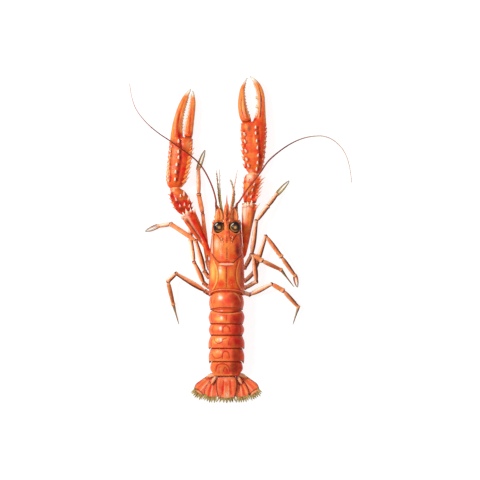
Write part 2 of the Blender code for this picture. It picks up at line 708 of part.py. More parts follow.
# Feelers: routes (x, y, z, half width, half height).
FEELER_STALK = [(6.6, 31.6, 10.4, 2.0, 1.8), (6.9, 34.0, 10.8, 1.9, 1.7), (7.0, 36.4, 11.4, 1.6, 1.4),
                (7.1, 38.6, 12.2, 1.3, 1.2), (7.2, 40.0, 12.8, 0.9, 0.9)]
FEELER_WHIPS = {
    "left": [(-8.0, 46.5, 15.0), (-9.9, 54.0, 16.8), (-13.4, 62.6, 17.8), (-17.6, 70.0, 18.2),
             (-22.4, 75.8, 18.2), (-28.6, 81.0, 18.0), (-35.6, 86.0, 17.6), (-43.0, 91.2, 16.4),
             (-50.4, 96.2, 13.6), (-57.6, 102.1, 10.0), (-64.0, 109.0, 6.6), (-68.8, 116.4, 3.6),
             (-71.4, 124.6, 1.8), (-73.0, 134.0, 1.0)],
    "right": [(10.0, 46.0, 15.0), (14.6, 53.2, 17.0), (19.8, 60.0, 18.0), (25.3, 67.0, 18.4),
              (30.8, 75.0, 18.4), (37.2, 81.0, 17.8), (43.9, 86.0, 16.8), (50.5, 89.9, 15.4),
              (57.6, 92.8, 13.4), (65.0, 94.3, 11.0), (72.6, 94.4, 8.6), (79.8, 91.7, 6.2),
              (86.4, 85.7, 4.2), (90.4, 78.7, 2.6), (92.8, 69.6, 1.6), (94.1, 59.8, 1.0)],
}
WHIP_ROOT, WHIP_TIP = 0.68, 0.24
SCALE_ROWS = [(5.6, 31.6, 14.9, 3.1, 0.5), (5.7, 34.0, 15.0, 3.4, 0.6), (5.7, 37.0, 15.2, 2.5, 0.6),
              (5.7, 39.4, 15.4, 1.3, 0.5), (5.8, 41.4, 15.6, 0.3, 0.3)]
FEELERETTES = {
    "left": {
        "stalk": [(-2.2, 31.7, 12.2, 1.0, 0.9), (-2.8, 35.0, 12.2, 1.0, 0.9), (-3.4, 39.0, 12.6, 0.8, 0.8)],
        "strands": [
            [(-3.2, 37.6, 12.5), (-4.6, 48.0, 15.0), (-5.0, 56.0, 16.4), (-5.2, 69.5, 17.0)],
            [(-3.6, 38.0, 12.5), (-5.4, 47.0, 13.6), (-6.4, 57.0, 14.0), (-7.8, 69.0, 13.6)],
        ],
    },
    "right": {
        "stalk": [(2.2, 31.7, 12.2, 1.0, 0.9), (2.6, 35.0, 12.2, 1.0, 0.9), (3.2, 39.0, 12.6, 0.8, 0.8)],
        "strands": [
            [(3.0, 37.6, 12.5), (4.4, 47.0, 15.0), (5.4, 54.0, 16.2), (8.2, 69.0, 16.6)],
            [(3.3, 38.0, 12.5), (5.6, 47.0, 13.4), (5.2, 55.0, 13.8), (2.6, 62.5, 13.4)],
        ],
    },
}
STRAND_ROOT, STRAND_TIP = 0.55, 0.2


def whip(points, root, tip):
    """Rows for a thin strand that tapers from root to tip."""
    last = len(points) - 1
    radii = [root + (tip - root) * k / last for k in range(last + 1)]
    return [(*p, radius, radius) for p, radius in zip(points, radii)]


def build_feelers(side, sign):
    stalk = FEELER_STALK if sign > 0 else mirrored(FEELER_STALK)
    route = stalk + whip(FEELER_WHIPS[side], WHIP_ROOT, WHIP_TIP)
    solid(f"feeler_{side}", tube(route), 3 * len(route) // 2, 5, "feeler")

    scale = tube(SCALE_ROWS if sign > 0 else mirrored(SCALE_ROWS), 2.4)
    plate = solid(f"scale_{side}", scale, 7, 10, "shell")
    outer = 0.0 if sign > 0 else 0.5
    combine(plate, [thorn(scale, 0.86, outer, 2.0, 0.5, 3.0, "shell")])

    small = FEELERETTES[side]
    first = solid(f"feelerette_{side}", tube(small["stalk"]), 5, 8, "feeler")
    strands = [tube(whip(points, STRAND_ROOT, STRAND_TIP)) for points in small["strands"]]
    combine(first, [solid("strand", strand, 6, 5, "feeler") for strand in strands])


def build_swimmerets():
    """A paddle on each side under each of the first five tail rings."""
    for number in range(1, 6):
        rear = TAIL_RINGS[f"tail_ring_{number}"][1]
        rows = [(x, rear + y, z, wide, tall) for x, y, z, wide, tall in SWIMMERET_ROWS]
        for side, route in (("right", rows), ("left", mirrored(rows))):
            solid(f"swimmeret_{number}_{side}", tube(route), 4, 6, "belly")


def build_underside():
    """The breast plate that the lobster rests on, and the two jaw legs in front of it."""
    half, height = BREAST_HALF_WIDTH, BREAST_HEIGHT
    outline = [(-half * 0.6, BREAST_REAR), (half * 0.6, BREAST_REAR), (half, BREAST_REAR + 4),
               (half, 1.0), (half * 0.55, BREAST_FRONT), (-half * 0.55, BREAST_FRONT),
               (-half, 1.0), (-half, BREAST_REAR + 4)]
    count = len(outline)
    points = [(x, y, z) for z in (0.0, height) for x, y in outline]
    faces = [tuple(range(count)), tuple(range(2 * count - 1, count - 1, -1))]
    faces += [(k, (k + 1) % count, (k + 1) % count + count, k + count) for k in range(count)]
    plate = mesh_object("breast_plate", points, faces, "belly")
    rounding = plate.modifiers.new("rounding", "BEVEL")
    rounding.width = 0.9 * MM
    rounding.limit_method = "ANGLE"
    jaw = [(3.4, 14.8, 3.4, 1.6, 1.4), (3.8, 20.0, 3.6, 1.7, 1.5), (4.0, 27.0, 4.0, 1.4, 1.2),
           (3.6, 33.0, 4.8, 1.0, 0.9), (2.8, 37.0, 5.6, 0.4, 0.4)]
    for name, route in (("jaw_leg_right", jaw), ("jaw_leg_left", mirrored(jaw))):
        solid(name, tube(route), 8, 8, "limb")


def main():
    clear_scene()
    build_carapace()
    build_eyes()
    for name, sizes in TAIL_RINGS.items():
        build_tail_ring(name, sizes)
    build_fan()
    for side, sign in (("left", -1), ("right", 1)):
        build_claw(side)
        build_feelers(side, sign)
    for name, joints in LEG_JOINTS.items():
        build_leg(name, joints)
    build_swimmerets()
    build_underside()


main()
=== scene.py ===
"""The looks of a cooked Norway lobster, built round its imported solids.

Sizes and places are millimetres in the lobster's own frame: the head along +Y, +X to the right,
and +Z up out of the back. Meshes are made in metres at the end.
"""

import math

import bpy
import numpy as np
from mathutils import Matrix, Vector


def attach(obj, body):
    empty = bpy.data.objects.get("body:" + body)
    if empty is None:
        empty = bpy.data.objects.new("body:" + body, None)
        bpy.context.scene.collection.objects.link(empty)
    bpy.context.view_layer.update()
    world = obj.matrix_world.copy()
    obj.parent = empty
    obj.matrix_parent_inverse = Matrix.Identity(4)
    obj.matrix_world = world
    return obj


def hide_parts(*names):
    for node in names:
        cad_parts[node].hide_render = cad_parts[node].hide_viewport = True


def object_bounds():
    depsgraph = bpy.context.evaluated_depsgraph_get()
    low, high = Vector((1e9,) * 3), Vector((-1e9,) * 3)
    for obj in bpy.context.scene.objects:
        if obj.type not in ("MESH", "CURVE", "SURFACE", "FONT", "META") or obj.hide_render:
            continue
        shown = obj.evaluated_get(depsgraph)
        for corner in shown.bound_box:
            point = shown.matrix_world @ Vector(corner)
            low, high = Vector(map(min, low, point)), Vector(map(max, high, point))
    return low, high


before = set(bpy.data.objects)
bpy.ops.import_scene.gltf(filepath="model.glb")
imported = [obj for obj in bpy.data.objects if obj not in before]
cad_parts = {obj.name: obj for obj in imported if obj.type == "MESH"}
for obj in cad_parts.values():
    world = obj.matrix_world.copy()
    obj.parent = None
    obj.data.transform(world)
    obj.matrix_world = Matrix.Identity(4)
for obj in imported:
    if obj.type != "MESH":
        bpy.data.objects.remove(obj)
cad_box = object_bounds()

MM = 0.001
# Each side and the sign of its x
SIDES = {"left": -1, "right": 1}


# Colours

def paint(red, green, blue):
    """A linear colour from its three screen values, 0 to 255."""
    values = np.array((red, green, blue)) / 255
    return np.where(values <= 0.04045, values / 12.92, ((values + 0.055) / 1.055) ** 2.4)


COLOURS = {
    "orange": paint(236, 94, 40),
    "red": paint(230, 56, 24),
    "deep red": paint(176, 34, 16),
    "wine": paint(140, 30, 16),
    "dark": paint(100, 26, 14),
    "coral": paint(250, 100, 58),
    "salmon": paint(248, 116, 76),
    "ink": paint(52, 16, 10),
    "amber": paint(248, 148, 68),
    "gold": paint(252, 188, 92),
    "peach": paint(252, 172, 120),
    "blush": paint(252, 196, 164),
    "cream": paint(255, 240, 216),
    "limb": paint(246, 146, 86),
    "limb dark": paint(150, 60, 34),
    "knot": paint(104, 36, 22),
    "knee": paint(176, 76, 48),
    "grey": paint(132, 120, 92),
    "olive": paint(172, 148, 84),
    "olive dark": paint(112, 88, 42),
    "straw": paint(216, 184, 118),
    "feeler": paint(122, 40, 30),
    "pink": paint(238, 190, 172),
    "sand": paint(228, 192, 166),
    "black": paint(16, 12, 10),
    "brown": paint(96, 52, 24),
    "tan": paint(206, 156, 92),
    "pale belly": paint(250, 196, 150),
}


# Curves and surfaces

# How far along or round a surface its neighbouring points are read
PROBE = 0.002


def smooth(low, high, value):
    """A soft step that is 0 at low and 1 at high."""
    t = np.clip((value - low) / (high - low), 0, 1)
    return t * t * (3 - 2 * t)


def band(values, middle, width):
    """A soft band that is 1 at its middle."""
    return np.exp(-(((values - middle) / width) ** 2))


def unit(vectors):
    return vectors / np.maximum(np.linalg.norm(vectors, axis=-1, keepdims=True), 1e-9)


def reading(rows):
    """A smooth curve through rows of numbers, read by an array of shares from 0 to 1."""
    rows = np.array(rows, float)
    last = len(rows) - 1

    def at(share):
        place = np.clip(share, 0, 1) * last
        i = np.minimum(place.astype(int), last - 1)
        t = (place - i)[..., None]
        before, a, b, after = (rows[np.clip(i + k, 0, last)] for k in (-1, 0, 1, 2))
        bend = (2 * before - 5 * a + 4 * b - after) * t**2 + (3 * a - before - 3 * b + after) * t**3
        return 0.5 * (2 * a + (b - before) * t + bend)

    return at


def powered(value, power):
    """A sine or cosine bent so that a round section turns squarer as the power grows over 2."""
    return np.copysign(np.abs(value) ** (2 / power), value)


def tube(rows, power=2.0):
    """A surface round a route of rows (x, y, z, half width, half height), wide side level."""
    at = reading(rows)

    def surface(along, around):
        along, around = np.broadcast_arrays(along, around)
        row = at(along)
        ahead = unit(at(along + PROBE)[..., :3] - at(along - PROBE)[..., :3])
        side = unit(np.cross(ahead, (0, 0, 1)))
        rise = np.cross(side, ahead)
        angle = 2 * math.pi * around
        across = np.maximum(row[..., 3], 0) * powered(np.cos(angle), power)
        over = np.maximum(row[..., 4], 0) * powered(np.sin(angle), power)
        return row[..., :3] + side * across[..., None] + rise * over[..., None]

    return surface


def slices(rows, power=2.4):
    """A surface of upright slices, from rows (y, left edge, right edge, low, high)."""
    at = reading(rows)

    def surface(along, around):
        along, around = np.broadcast_arrays(along, around)
        y, left, right, low, high = np.moveaxis(at(along), -1, 0)
        angle = 2 * math.pi * around
        x = (left + right) / 2 + (right - left) / 2 * powered(np.cos(angle), power)
        z = (low + high) / 2 + (high - low) / 2 * powered(np.sin(angle), power)
        return np.stack([x, y, z], axis=-1)

    return surface


# An arched shell: round it, 0 is the right flank's edge, then the back, the left flank and the belly.
# A flank's share is in degrees, beside the back's 180.
SHOULDER = 10.0
ROOF_SHARE = 0.7
ROOF_POWER = 2.25
FLANK_SHARE = 35.0
FLANK_TUCK = 0.08
TAIL_TUCK = 0.02
BELLY = 6.6
TAIL_BELLY = 5.4


def arch(rows, belly, tuck=FLANK_TUCK):
    """The surface of an arched shell, from rows (y, half width, top, edge, sweep, tip)."""
    at = reading(rows)

    def surface(along, around):
        along, around = np.broadcast_arrays(along, around)
        y, half, top, edge, sweep, tip = np.moveaxis(at(along), -1, 0)
        angle = -FLANK_SHARE + (180 + 2 * FLANK_SHARE) * around / ROOF_SHARE
        turn = np.radians(np.clip(angle, 0, 180))
        share = np.abs(np.sin(turn)) ** (2 / ROOF_POWER)
        back = np.stack([half * powered(np.cos(turn), ROOF_POWER), y + sweep * (1 - share),
                         SHOULDER + (top - SHOULDER) * share], axis=-1)
        below = np.clip(np.maximum(-angle, angle - 180) / FLANK_SHARE, 0, 1)
        flank = np.stack([np.where(angle < 90, 1, -1) * half * (1 - tuck * below**2),
                          y + sweep + tip * below, SHOULDER - (SHOULDER - edge) * below], axis=-1)
        under_turn = math.pi * np.clip((around - ROOF_SHARE) / (1 - ROOF_SHARE), 0, 1)
        risen = np.minimum(1, 2.2 * np.sin(under_turn))
        under = np.stack([(tuck - 1) * half * np.cos(under_turn), y + sweep + tip * (1 - risen),
                          edge + (belly - edge) * risen], axis=-1)
        made = np.where((below > 0)[..., None], flank, back)
        return np.where((around > ROOF_SHARE)[..., None], under, made)

    return surface


def even(curve, step, fewest=3):
    """Shares from 0 to 1 that cut a line of points into equal lengths near the step."""
    lengths = np.concatenate([[0], np.cumsum(np.linalg.norm(np.diff(curve, axis=0), axis=1))])
    count = max(fewest, round(lengths[-1] / step))
    return np.interp(np.linspace(0, lengths[-1], count + 1), lengths, np.linspace(0, 1, len(curve)))


# Values that the noise has each way before it repeats
LATTICE = 16


def mottle(points, size, seed):
    """Smooth noise from 0 to 1, in patches about the given size."""
    lattice = np.random.default_rng(seed).random((LATTICE, LATTICE, LATTICE))
    place = points / size
    cell = np.floor(place).astype(int)
    t = smooth(0, 1, place - cell)
    total = np.zeros(points.shape[:-1])
    for corner in np.ndindex(2, 2, 2):
        step = np.array(corner)
        weight = np.prod(np.where(step == 1, t, 1 - t), axis=-1)
        index = (cell + step) % LATTICE
        total += weight * lattice[index[..., 0], index[..., 1], index[..., 2]]
    return total


def sided(rows, side):
    """Rows given for the right side, placed on the named side."""
    return [(SIDES[side] * row[0], *row[1:]) for row in rows]


# Straight pieces that a drawn line has between two of its points
LINE_PIECES = 8


def away_from(points, line):
    """How far each point is from a smooth line seen from above, and its share along the line."""
    count = LINE_PIECES * (len(line) - 1) + 1
    bends = reading(line)(np.linspace(0, 1, count))
    start, step = bends[:-1], np.diff(bends, axis=0)
    gap = points[..., None, :2] - start
    t = np.clip((gap * step).sum(-1) / np.maximum((step**2).sum(-1), 1e-9), 0, 1)
    distance = np.linalg.norm(gap - step * t[..., None], axis=-1)
    nearest = distance.argmin(-1)[..., None]
    share = (nearest + np.take_along_axis(t, nearest, -1)) / (count - 1)
    return np.take_along_axis(distance, nearest, -1)[..., 0], share[..., 0]


# Points by which a form's length and girth are measured, then the rings of its domed ends and their
# turn in degrees
DENSE_ALONG, DENSE_ROUND = 400, 1600
DOME_RINGS, DOME_TURN = 5, 88.0
# How much farther away a place counts when the skin there does not face up
FAR = 50.0


class Skin:
    """A sheet of points wrapped round a form, which takes relief and colour before it is a mesh."""

    def __init__(self, surface, step, colour, before=(), domes=(0.0, 0.0), after=()):
        self.surface = surface
        quarters = np.arange(4)[None] / 4
        route = surface(np.linspace(0, 1, DENSE_ALONG)[:, None], quarters).mean(axis=1)
        loop = surface(np.array(0.5), np.linspace(0, 1, DENSE_ROUND))
        shares, around = even(route, step), even(loop, step, 6)[:-1]
        rings = surface(shares[:, None], around[None])
        for front, rows, depth in ((True, before, domes[0]), (False, after, domes[1])):
            for row in rows:
                rings, shares = self.lengthened(rings, shares, row(around)[None], front)
            if depth:
                rings, shares = self.lengthened(rings, shares, self.dome(rings, depth, front), front)
        self.points = rings
        self.x, self.y = rings[..., 0], rings[..., 1]
        self.along = np.broadcast_to(shares[:, None], rings.shape[:2])
        self.around = np.broadcast_to(around[None], rings.shape[:2])
        across = np.roll(rings, -1, 1) - np.roll(rings, 1, 1)
        normals = unit(np.cross(across, np.gradient(rings, axis=0)))
        outward = (normals * (rings - rings.mean(axis=1, keepdims=True))).sum()
        self.flip = outward < 0
        self.normals = -normals if self.flip else normals
        self.rise = self.normals[..., 2]
        self.up = smooth(0.02, 0.35, self.rise)
        self.colour = np.tile(COLOURS[colour], (*rings.shape[:2], 1))
        self.relief = np.zeros(rings.shape[:2])

    @staticmethod
    def lengthened(rings, shares, extra, front):
        """Rings and their shares with more rings before the first or after the last."""
        edge = np.full(len(extra), 0.0 if front else 1.0)
        if front:
            return np.concatenate([extra, rings]), np.concatenate([edge, shares])
        return np.concatenate([rings, extra]), np.concatenate([shares, edge])

    @staticmethod
    def dome(rings, depth, front):
        """Rings that close an end with a rounded cap of the given depth."""
        rim, inner = (rings[0], rings[1]) if front else (rings[-1], rings[-2])
        middle = rim.mean(axis=0)
        outward = unit(middle - inner.mean(axis=0))
        made = []
        for k in range(1, DOME_RINGS + 1):
            turn = math.radians(DOME_TURN * k / DOME_RINGS)
            made.append(middle + (rim - middle) * math.cos(turn) + outward * depth * math.sin(turn))
        return np.array(made[::-1] if front else made)

    def tint(self, weight, colour, strength):
        share = (np.clip(weight, 0, 1) * strength)[..., None]
        self.colour = self.colour * (1 - share) + COLOURS[colour] * share

    def outline(self, colour, strength, width=0.2):
        """Painted shade: deepens the sides that stand upright, which outline the form from above."""
        self.tint(band(self.rise, 0.04, width), colour, strength)

    def underside(self, colour, strength):
        self.tint(smooth(-0.1, -0.7, self.rise), colour, strength)

    def speckle(self, colour, size, strength, seed):
        self.tint(smooth(0.45, 0.75, mottle(self.points, size, seed)), colour, strength)

    def patch(self, x, y, wide, long, colour, strength, firm=0.0):
        """A round patch of colour on the upper side, soft or with a firmer edge."""
        reach = np.hypot((self.x - x) / wide, (self.y - y) / long)
        self.tint(self.up * smooth(1, firm, reach), colour, strength)

    def stroke(self, line, half_width, colour, strength, depth):
        """A line on the upper side that thins at both ends, a groove below 0 depth, a ridge above."""
        distance, share = away_from(self.points, line)
        width = half_width * (0.35 + 0.65 * np.sin(math.pi * share) ** 0.5)
        self.tint(self.up * smooth(width + 0.35, width * 0.4, distance), colour, strength)
        self.relief += depth * self.up * band(distance, 0, 1.2 * half_width + 0.15)

    def draw(self, name):
        """Draws the patches and strokes that the tables hold for a piece."""
        for mark in PATCHES.get(name, ()):
            self.patch(*mark)
        for mark in STROKES.get(name, ()):
            self.stroke(*mark)

    def seat(self, x, y):
        """The place on the upper side straight above a point, the way it faces, and its colour."""
        reach = np.hypot(self.x - x, self.y - y) + FAR * (self.up < 0.3)
        i, j = np.unravel_index(reach.argmin(), reach.shape)
        place = self.points[i, j] + self.normals[i, j] * self.relief[i, j]
        return place, self.normals[i, j], self.colour[i, j]

    def footing(self, along, around):
        """Points of the bare form, with the ways that run ahead along it and straight across it."""
        roots = self.surface(along, around)
        ahead = unit(self.surface(along + PROBE, around) - self.surface(along - PROBE, around))
        return roots, ahead, unit(roots - self.surface(along, around + 0.5))

    def parts(self):
        """The skin as points, faces and colours."""
        rows, sides = self.relief.shape
        shaped = (self.points + self.normals * self.relief[..., None]).reshape(-1, 3)
        i, j = np.meshgrid(np.arange(rows - 1), np.arange(sides), indexing="ij")
        a, b = i * sides + j, i * sides + (j + 1) % sides
        faces = np.stack([a, b, b + sides, a + sides], axis=-1).reshape(-1, 4).tolist()
        start, end, last = rows * sides, rows * sides + 1, (rows - 1) * sides
        for k in range(sides):
            following = (k + 1) % sides
            faces += [[following, k, start], [last + k, last + following, end]]
        if self.flip:
            faces = [face[::-1] for face in faces]
        middles = np.stack([shaped[:sides].mean(axis=0), shaped[-sides:].mean(axis=0)])
        colours = self.colour.reshape(-1, 3)
        colours = np.concatenate([colours, colours[:1], colours[-1:]])
        return np.concatenate([shaped, middles]), faces, colours


# Thorns, teeth and hairs: (share of the length, share of the radius) up to the tip that closes each
THORN = [(-0.35, 1.1), (0.0, 1.0), (0.25, 0.72), (0.55, 0.42), (0.82, 0.18)]
BEAD = [(-0.5, 1.0), (0.0, 1.0), (0.4, 0.9), (0.75, 0.6), (0.93, 0.3)]
GRAIN = [(-0.3, 0.7), (0.0, 0.95), (0.35, 1.0), (0.65, 0.75), (0.88, 0.4)]
HAIR = [(-0.1, 1.0), (0.35, 0.8), (0.75, 0.45)]
# The way from a thorn to its shaded side
SHADED_WAY = (0.65, -0.65, -0.3)


def spikes(roots, ways, lengths, radii, low, high, shape=THORN, sides=7, hook=(0, 0, 0), paling=1.3,
           shadow=None):
    """Many cones at once, coloured from low at the root to high, and by a shadow on the lower right."""
    roots, ways = np.atleast_2d(roots).astype(float), unit(np.atleast_2d(ways).astype(float))
    count = len(roots)
    lengths, radii = np.broadcast_to(lengths, count), np.broadcast_to(radii, count)
    low, high = np.broadcast_to(low, (count, 3)), np.broadcast_to(high, (count, 3))
    hook = np.array(hook, float)
    upright = np.abs(ways[:, 2:]) > 0.9
    across = unit(np.cross(ways, np.where(upright, (1.0, 0, 0), (0, 0, 1.0))))
    other = np.cross(ways, across)
    turn = (2 * math.pi * np.arange(sides) / sides)[None, :, None]
    round_it = across[:, None] * np.cos(turn) + other[:, None] * np.sin(turn)
    shaded = smooth(0.1, 0.75, round_it @ SHADED_WAY)[..., None] * (shadow is not None)
    points, colours = [], []
    for share, wide in [*shape, (1.0, 0.0)]:
        middle = roots + ways * (lengths * share)[:, None] + hook * (lengths * max(share, 0) ** 2)[:, None]
        tone = low + (high - low) * max(share, 0) ** paling
        if share < 1.0:
            points.append(middle[:, None] + round_it * (radii * wide)[:, None, None])
            colours.append(tone[:, None] * (1 - shaded) + COLOURS[shadow or "wine"] * shaded)
        else:
            points.append(middle[:, None])
            colours.append(tone[:, None])
    points, colours = np.concatenate(points, axis=1), np.concatenate(colours, axis=1)
    levels, each = len(shape), points.shape[1]
    pattern = [list(range(sides))]
    for level in range(levels - 1):
        for k in range(sides):
            a, b = level * sides + k, level * sides + (k + 1) % sides
            pattern.append([b, a, a + sides, b + sides])
    top = (levels - 1) * sides
    pattern += [[top + (k + 1) % sides, top + k, each - 1] for k in range(sides)]
    faces = [[corner + n * each for corner in face] for n in range(count) for face in pattern]
    return points.reshape(-1, 3), faces, colours.reshape(-1, 3)


def thorns_at(skin, places, length, radius, lean, shape=THORN, tip="cream", dark=0.75):
    """Thorns seated on the upper side of a skin above places (x, y), leaning by (x, y) as they rise."""
    seats = [skin.seat(x, y) for x, y in places]
    roots, ways, low = (np.array(column) for column in zip(*seats))
    for x, y in places:
        # A painted shadow to the right of each thorn and ahead of it
        skin.patch(x + radius + 0.1, y + 0.25 * length, radius, 0.7 * length, "deep red", dark, 0.3)
    ways = ways + np.array((*lean, 0.0))
    # Painted shade on each thorn's lower right side
    return spikes(roots, ways, length, radius, low, COLOURS[tip], shape, 9, paling=0.3, shadow="limb")


def thorns_along(skin, start, end, count, length, radius, lean, tip="cream", uneven=0.0, seed=1):
    """A row of thorns between two places (along, around) of a skin, leaning the way it runs."""
    random = np.random.default_rng(seed)
    along, around = (np.linspace(start[k], end[k], count) for k in (0, 1))
    roots, ahead, across = skin.footing(along, around)
    beside = skin.surface(along, around + PROBE) - skin.surface(along, around - PROBE)
    out = unit(np.cross(beside, ahead))
    out *= np.sign((out * across).sum(-1, keepdims=True))
    flat = skin.points.reshape(-1, 3)
    near = [np.linalg.norm(flat - root, axis=1).argmin() for root in roots]
    low = skin.colour.reshape(-1, 3)[near]
    # A painted shadow round the back of each thorn's root
    for root, way in zip(roots, ahead):
        gap = np.linalg.norm(skin.points - root + way * 0.7 * radius, axis=-1)
        skin.tint(smooth(1.9 * radius, 0.9 * radius, gap), "wine", 0.8)
    lengths = length * (1 + uneven * (random.random(count) - 0.5))
    return spikes(roots, out + ahead * lean, lengths, radius, low, COLOURS[tip], hook=(0, 0, 0.12),
                  paling=0.4, shadow="limb dark")


def setae(skin, count, length, seed, radius=0.07):
    """Stiff hairs along a limb or a strand, pointing to its tip."""
    random = np.random.default_rng(seed)
    along, around = random.uniform(0.1, 0.9, count), random.random(count)
    roots, ahead, out = skin.footing(along, around)
    lengths = length * random.uniform(0.6, 1.2, count)
    return spikes(roots, out * 0.6 + ahead, lengths, radius, COLOURS["olive"], COLOURS["straw"], HAIR, 3)


# Finishes

def set_inputs(node, **values):
    """Sets inputs of a shader node by their names, with _ for each space, and gives the node back."""
    for name, value in values.items():
        node.inputs[name.replace("_", " ")].default_value = value
    return node


def finish(name, roughness, coat, speckle, bump, pores):
    """A shell's finish: its painted colour with fine speckles, a pored bump and a wet coat."""
    made = bpy.data.materials.new(name)
    made.use_nodes = True
    nodes, link = made.node_tree.nodes, made.node_tree.links.new

    def add(kind, **values):
        return set_inputs(nodes.new(f"ShaderNode{kind}"), **values)

    shader = set_inputs(nodes["Principled BSDF"], Coat_Weight=coat, Coat_Roughness=0.14,
                        Specular_IOR_Level=0.12)
    place = add("TexCoord")
    painted = add("Attribute")
    painted.attribute_name = "paint"
    grain = add("TexNoise", Scale=900.0, Detail=4.0, Roughness=0.6)
    clouds = add("TexNoise", Scale=260.0, Detail=3.0, Roughness=0.5)
    cells = add("TexVoronoi", Scale=pores)
    shade = add("MapRange", From_Min=0.3, From_Max=0.7, To_Min=1 - speckle, To_Max=1 + speckle)
    drift = add("MapRange", From_Min=0.3, From_Max=0.7, To_Min=0.492, To_Max=0.508)
    rough = add("MapRange", From_Min=0.25, From_Max=0.75, To_Min=roughness - 0.08, To_Max=roughness + 0.12)
    pits = add("MapRange", From_Min=0.0, From_Max=0.45)
    varied = add("HueSaturation")
    height = add("Math")
    height.operation = "MULTIPLY_ADD"
    height.inputs[1].default_value = 0.6
    raised = add("Bump", Strength=bump, Distance=0.0002)
    for source, output, target, entry in (
        (place, "Object", grain, "Vector"),
        (place, "Object", clouds, "Vector"),
        (place, "Object", cells, "Vector"),
        (grain, "Fac", shade, "Value"),
        (clouds, "Fac", drift, "Value"),
        (painted, "Color", varied, "Color"),
        (drift, "Result", varied, "Hue"),
        (shade, "Result", varied, "Value"),
        (varied, "Color", shader, "Base Color"),
        (clouds, "Fac", rough, "Value"),
        (rough, "Result", shader, "Roughness"),
        (cells, "Distance", pits, "Value"),
        (pits, "Result", height, 0),
        (grain, "Fac", height, 2),
        (height, "Value", raised, "Height"),
        (raised, "Normal", shader, "Normal"),
    ):
        link(source.outputs[output], target.inputs[entry])
    return made


# Roughness, coat, speckles, bump and pores of each slot's finish
FINISHES = {
    "shell": finish("wet shell", 0.38, 0.12, 0.12, 0.30, 1500.0),
    "claw": finish("claw shell", 0.42, 0.08, 0.14, 0.40, 1200.0),
    "limb": finish("leg shell", 0.44, 0.06, 0.12, 0.25, 1800.0),
    "feeler": finish("feeler skin", 0.55, 0.05, 0.12, 0.30, 2400.0),
    "eye": finish("eye glass", 0.30, 0.25, 0.04, 0.04, 3500.0),
    "bristle": finish("dry hair", 0.75, 0.00, 0.18, 0.20, 2500.0),
    "belly": finish("soft belly", 0.50, 0.15, 0.08, 0.30, 1400.0),
}


def piece(name, parts, slot, node):
    """One mesh of all the parts, which stands for a solid of the frame."""
    points, faces, colours, first = [], [], [], 0
    for part_points, part_faces, part_colours in parts:
        points.append(part_points)
        colours.append(part_colours)
        faces += [[corner + first for corner in face] for face in part_faces]
        first += len(part_points)
    points, colours = np.clip(np.concatenate(points) * MM, *cad_box), np.concatenate(colours)
    mesh = bpy.data.meshes.new(name)
    mesh.from_pydata(points.tolist(), [], faces)
    attribute = mesh.color_attributes.new("paint", "FLOAT_COLOR", "POINT")
    attribute.data.foreach_set("color", np.column_stack([colours, np.ones(len(colours))]).ravel())
    mesh.materials.append(FINISHES[slot])
    mesh.shade_smooth()
    made = bpy.data.objects.new(name, mesh)
    bpy.context.scene.collection.objects.link(made)
    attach(made, "root")
    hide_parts(node)


# The carapace: (y, half width, top, edge, sweep, tip) from its rear rim to the face under the beak.
# The beak is a route (x, y, z, half width, half height).

CARAPACE_ROWS = [
    (-21.2, 12.4, 21.4, 5.8, -3.8, 0.0),
    (-15.5, 12.9, 22.8, 5.4, -3.4, 0.0),
    (-6.0, 13.0, 24.1, 5.3, -2.2, 0.0),
    (1.0, 12.7, 24.6, 5.3, -1.0, 0.0),
    (9.0, 12.1, 24.3, 5.4, 0.0, 0.0),
    (17.0, 11.3, 23.2, 5.8, 0.0, 0.0),
    (24.0, 10.7, 21.0, 6.2, 0.0, 0.0),
    (28.5, 10.3, 17.6, 6.3, 0.0, 0.0),
    (31.0, 9.4, 13.6, 6.5, 0.0, 0.0),
]
BEAK_ROWS = [
    (0.0, 10.0, 22.2, 1.6, 1.6),
    (0.0, 19.0, 22.0, 2.3, 1.6),
    (0.0, 26.0, 20.8, 1.6, 1.4),
    (0.0, 34.0, 20.4, 1.9, 1.2),
    (0.1, 40.4, 20.8, 1.6, 1.0),
    (0.2, 43.8, 21.2, 0.6, 0.6),
    (0.3, 50.2, 22.0, 0.2, 0.2),
]
# Thorns on both flanks: (along, around from the midline, length, radius, lean)
CARAPACE_THORNS = [
    (0.74, 0.075, 2.0, 0.7, 1.6),
    (0.70, 0.15, 1.7, 0.7, 1.6),
    (0.92, 0.2, 2.2, 0.7, 1.6),
    (0.93, 0.27, 2.6, 0.9, 2.2),
]
# Thorns on top: (places, length, radius, lean, shape, tip, darkness of the painted shadow)
BROW_THORNS = [(-4.5, 18.6), (-3.6, 16.8), (-2.9, 14.8), (-2.4, 12.8),
               (3.4, 19.0), (4.5, 18.4), (4.1, 16.4), (3.7, 14.4)]
CHEEK_THORNS = [
    ([(-9.6, 27.4), (-10.2, 20.2)], 3.0, 0.8, (-0.7, 2.4), THORN, "peach"),
    ([(10.0, 27.4), (10.6, 20.2)], 3.0, 0.8, (0.7, 2.4), THORN, "peach"),
]
# Bands round the rear rim: (share of the length, width, colour, strength, height)
# The salmon band is a painted highlight on the raised rim, the deep red ones painted shade at its edge and
# in the groove
CARAPACE_BANDS = [
    (0.02, 0.01, "salmon", 0.9, 0.3),
    (0.002, 0.005, "deep red", 0.9, 0.0),
    (0.045, 0.008, "deep red", 0.9, -0.3),
]
GRANULES = 150
BEAK_TEETH = 3
SHELL_LIP = 0.8
SOCKET_DEPTH = 2.2
# The right eye's centre, how far both eyes stand to the right, and their half sizes
EYE = np.array((6.0, 26.2, 18.4))
EYE_SHIFT = np.array((0.35, 0.0, 0.0))
EYE_SIZE = np.array((4.3, 4.3, 3.9))
ORBIT_CLEARANCE = 0.5
